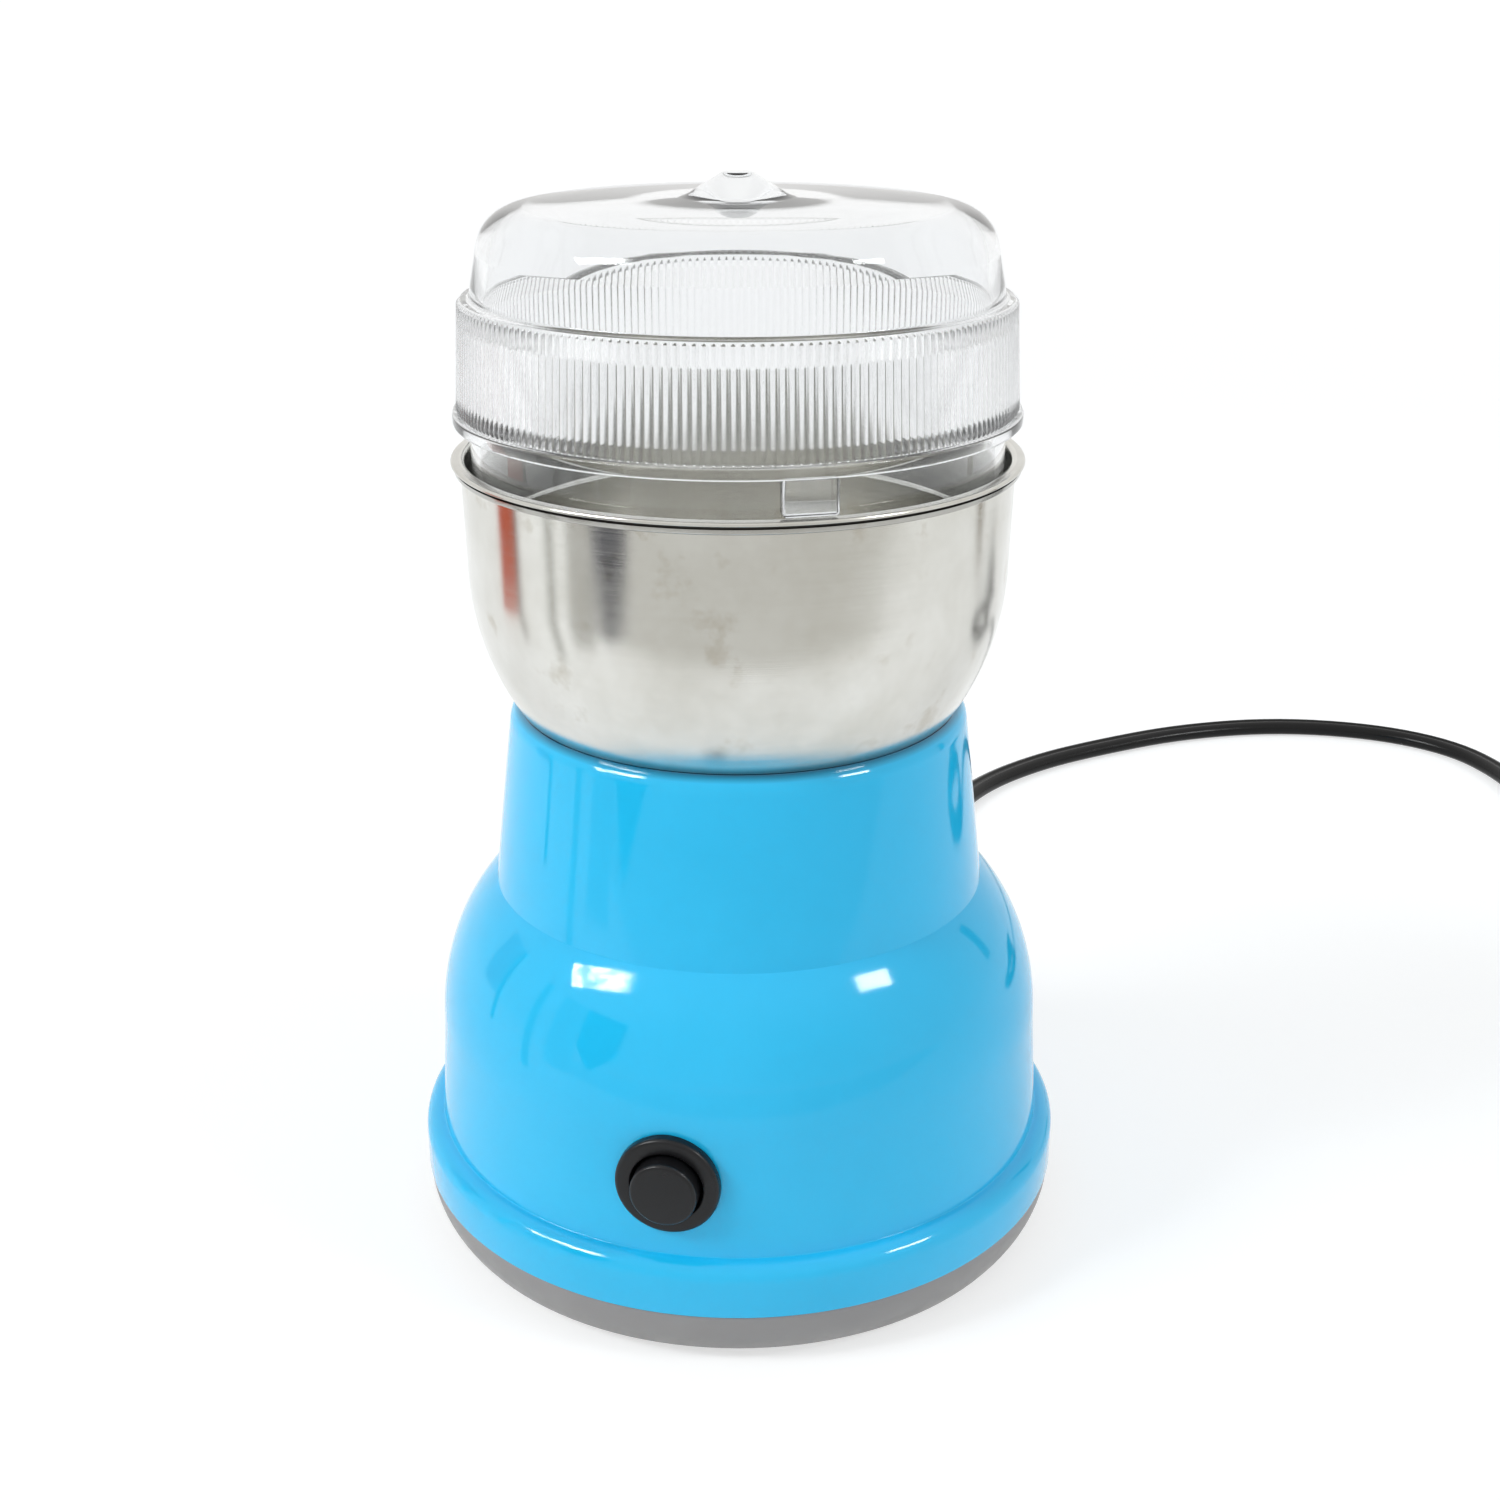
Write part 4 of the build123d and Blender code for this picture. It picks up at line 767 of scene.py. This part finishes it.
finishes = {
    "blue_housing": blue_plastic(),
    "cup_steel": cup_steel(),
    "clear_lid": clear_plastic(),
    "grey_base": moulded("grey_moulding", screen(143, 140, 139), 0.42, 1300, 1.2e-5, 0.05),
    "black_plastic": moulded("black_moulding", screen(19, 19, 21), 0.32, 1600, 8e-6, 0.1, IOR=1.38),
    "rubber_black": moulded("black_rubber", screen(20, 20, 21), 0.5, 1200, 2e-5, 0.12, IOR=1.4),
    "rubber_grey": moulded("grey_rubber", screen(70, 70, 72), 0.65, 1000, 3e-5, 0.08),
    "white_nylon": moulded("white_nylon", screen(222, 219, 208), 0.38, 1400, 1e-5, 0.03),
    "board": moulded("brown_laminate", screen(139, 98, 60), 0.5, 700, 1.5e-5, 0.12),
    "capacitor_case": moulded("yellow_case", screen(214, 175, 60), 0.35, 1500, 8e-6, 0.04),
    "carbon": moulded("carbon", screen(38, 38, 40), 0.6, 2500, 1.5e-5, 0.2),
    "lead_white": moulded("white_lead", screen(225, 224, 220), 0.35, 1800, 6e-6, 0.03),
    "lead_red": moulded("red_lead", screen(176, 32, 30), 0.35, 1800, 6e-6, 0.06),
    "cord_black": moulded("black_cord", screen(14, 14, 14), 0.24, 1500, 8e-6, 0.15, IOR=1.3),
    "blade_steel": metal("ground_steel", screen(205, 206, 208), 0.2, (4, 1, 1), 1500, 3e-6, 0.06),
    "plated_steel": metal("plated_steel", screen(190, 191, 188), 0.28, (1, 1, 1), 900, 4e-6, 0.1),
    "die_cast": metal("die_cast_zinc", screen(160, 161, 163), 0.45, (1, 1, 1), 700, 1.5e-5, 0.1),
    "lamination": metal("stacked_lamination", screen(120, 121, 124), 0.42, (1, 1, 40), 60, 3e-5, 0.15),
    "copper_winding": metal("enamelled_copper", screen(176, 92, 48), 0.3, (1, 1, 12), 260, 6e-5, 0.15),
    "commutator_copper": metal("turned_copper", screen(200, 120, 80), 0.25, (1, 1, 30), 200, 5e-6, 0.1),
    "bearing_bronze": metal("sintered_bronze", screen(176, 132, 84), 0.5, (1, 1, 1), 1800, 1e-5, 0.12),
    "brass_plated": metal("plated_brass", screen(205, 200, 188), 0.22, (1, 1, 1), 900, 3e-6, 0.06),
}

for part in frame["record"]["subparts"]:
    for material_slot in frame["nodes"][part["node"]].material_slots:
        material_slot.material = finishes[part["material_slot"]]

# ---- Make the object ----

cord = make_cord(finishes["cord_black"])
make_housing(finishes["blue_housing"])
make_cup(finishes["cup_steel"])
make_lid(finishes["clear_lid"])
make_switch(finishes["black_plastic"])
relief = make_relief(finishes["rubber_black"])
tie = make_tie(finishes["rubber_black"])
plug = [make_plug(finishes["cord_black"])] + [frame["nodes"][node] for node in ("plug_pins", "pin_sleeves")]

# ---- Room: windows, cards, table and light ----


def glow(name, colour, strength, broken=0.0):
    """Light of a card, broken into bright panes with darker leaves between them if asked."""
    f = Finish(name)
    f.tree.nodes.remove(f.shader)
    light = f.node("ShaderNodeEmission", Color=colour, Strength=strength)
    if broken:
        leaves = f.noise(4.5, 3.0, 0.6)
        f.feed(light.inputs["Strength"], f.span(leaves, 0.42, 0.56, strength * (1 - broken), strength))
    f.link(light.outputs[0], f.output.inputs["Surface"])
    return f.material


def card(name, bm, material, lights=False):
    """Glowing card that only gloss sees, and rough surfaces too if it lights them. It throws no shadow."""
    made = object_of(name, bm)
    made.data.materials.append(material)
    made.visible_camera = False
    made.visible_transmission = False
    made.visible_shadow = False
    made.visible_diffuse = lights


def window(name, width, height, angle, elevation, roll, strength, broken):
    """Bright window two metres away, turned to the grinder."""
    bm = bmesh.new()
    bmesh.ops.create_grid(bm, x_segments=1, y_segments=1, size=0.5)
    bmesh.ops.scale(bm, vec=(width, height, 1), verts=bm.verts)
    bmesh.ops.rotate(bm, cent=(0, 0, 0), matrix=Matrix.Rotation(radians(roll), 3, "Z"), verts=bm.verts)
    where = round_table(angle, elevation, 2.0)
    facing = (room_middle - where).to_track_quat("Z", "Y").to_matrix().to_4x4()
    bmesh.ops.transform(bm, matrix=Matrix.Translation(where) @ facing, verts=bm.verts)
    card(name, bm, glow(name, (0.97, 0.99, 1.0, 1), strength, broken), lights=True)


def upright(name, colour, *corners):
    """Upright card beside the grinder, from corners (angle, height in millimetres)."""
    bm = bmesh.new()
    places = [round_table(angle, 0, 0.195) for angle, height in corners]
    bm.faces.new([bm.verts.new((w.x, w.y, height * MM)) for w, (angle, height) in zip(places, corners)])
    card(name, bm, glow(name, colour, 1.0))


def strip(name, start, end, low, colour):
    """Upright strip between two angles, from a height up to that of the cup's rim."""
    upright(name, colour, (start, 120), (end, 120), (end, low), (start, low))


def make_table_front():
    """Darker tabletop in front of the grinder."""
    bm = bmesh.new()
    corners = [(-1.2, -0.19), (1.2, -0.19), (2.4, -1.5), (-2.4, -1.5)]
    bm.faces.new([bm.verts.new((x, y, 0.5 * MM)) for x, y in corners])
    turn_and_place(bm, camera_side, "Z", (0, 0, 0))
    card("table_front", bm, glow("table_front", (0.76, 0.76, 0.74, 1), 1.0))


def make_floor():
    """Pale tabletop, half of its look its own and half a white glow, so that it keeps a soft shadow."""
    bm = bmesh.new()
    bmesh.ops.create_circle(bm, cap_ends=True, segments=96, radius=30)
    floor = object_of("tabletop", bm)
    f = Finish("pale_tabletop")
    f.set(Base_Color=(0.93, 0.95, 0.955, 1), Roughness=0.6)
    away = f.node("ShaderNodeVectorMath", operation="LENGTH", Vector=f.place).outputs["Value"]
    brighter = f.span(away, 0.7, 2.5, 1.25, 1.55)
    shine = f.node("ShaderNodeEmission", Color=(1.0, 1.0, 1.0, 1), Strength=brighter)
    ray = f.node("ShaderNodeLightPath").outputs
    seen = f.maths("MAXIMUM", ray["Is Camera Ray"], ray["Is Transmission Ray"])
    seen = f.maths("MAXIMUM", seen, ray["Is Glossy Ray"])
    f.join(f.maths("MULTIPLY", seen, 0.5), f.shader, shine)
    floor.data.materials.append(f.material)


def make_world():
    """Soft room light. Gloss sees a dimmer wall low down in front of the grinder and white all round it."""
    world = bpy.data.worlds.new("room")
    bpy.context.scene.world = world
    world.use_nodes = True
    tree = world.node_tree
    tree.nodes.clear()

    def node(kind, *feeds, **values):
        made = tree.nodes.new(kind)
        for key, value in values.items():
            setattr(made, key, value)
        for socket, value in zip(made.inputs, feeds):
            if isinstance(value, bpy.types.NodeSocket):
                tree.links.new(value, socket)
            else:
                socket.default_value = value
        return made.outputs

    ray = node("ShaderNodeLightPath")
    way = node("ShaderNodeTexCoord")["Generated"]
    to_camera = (sin(radians(camera_side)), -cos(radians(camera_side)), 0)
    towards = node("ShaderNodeVectorMath", way, to_camera, operation="DOT_PRODUCT")["Value"]
    height = node("ShaderNodeSeparateXYZ", way)["Z"]
    in_front = node("ShaderNodeMapRange", towards, 0.45, 0.75, 0.0, 1.0)[0]
    low = node("ShaderNodeMapRange", height, 0.42, 0.72, 1.0, 0.0)[0]
    dim = node("ShaderNodeMath", in_front, low, operation="MULTIPLY")[0]
    wall = node("ShaderNodeMapRange", dim, 0.0, 1.0, 1.0, 0.86)[0]
    light = node("ShaderNodeBackground", (0.97, 0.985, 1.0, 1), 0.52)[0]
    gloss = node("ShaderNodeBackground", (1.0, 0.995, 0.985, 1), wall)[0]
    backdrop = node("ShaderNodeBackground", (0.99, 1.0, 1.0, 1), 1.0)[0]
    clear = node("ShaderNodeMath", ray["Is Camera Ray"], ray["Is Transmission Ray"], operation="MAXIMUM")[0]
    lit = node("ShaderNodeMixShader", ray["Is Glossy Ray"], light, gloss)[0]
    node("ShaderNodeOutputWorld", node("ShaderNodeMixShader", clear, lit, backdrop)[0])


# Width and height in metres; angle, elevation and roll in degrees; strength; share that leaves take away.
window("left_window", 0.82, 0.42, -68, 38.5, -34, 30, 0.75)
window("right_window", 0.44, 0.3, 66, 38.5, 24, 22, 0.0)

# First and last angle in degrees, lower end in millimetres, colour.
strip("red_strip", -105.5, -95, 46, (0.6, 0.1, 0.04, 1))
strip("brown_strip", -95, -92.8, 20, (0.16, 0.12, 0.1, 1))
strip("grey_strip", -77, -73.5, 0, (0.4, 0.4, 0.37, 1))
strip("dim_strip", -67, -56, 20, (0.62, 0.62, 0.6, 1))
strip("right_strip", 105, 109, 60, (0.2, 0.15, 0.09, 1))
upright(
    "dark_wedge", (0.1, 0.1, 0.12, 1), (-56, 120), (-39.5, 120), (-40.5, 63), (-48.5, 37), (-50.5, 37),
    (-55.5, 62),
)
make_table_front()
make_floor()
make_world()
bpy.context.scene.view_settings.view_transform = "Standard"
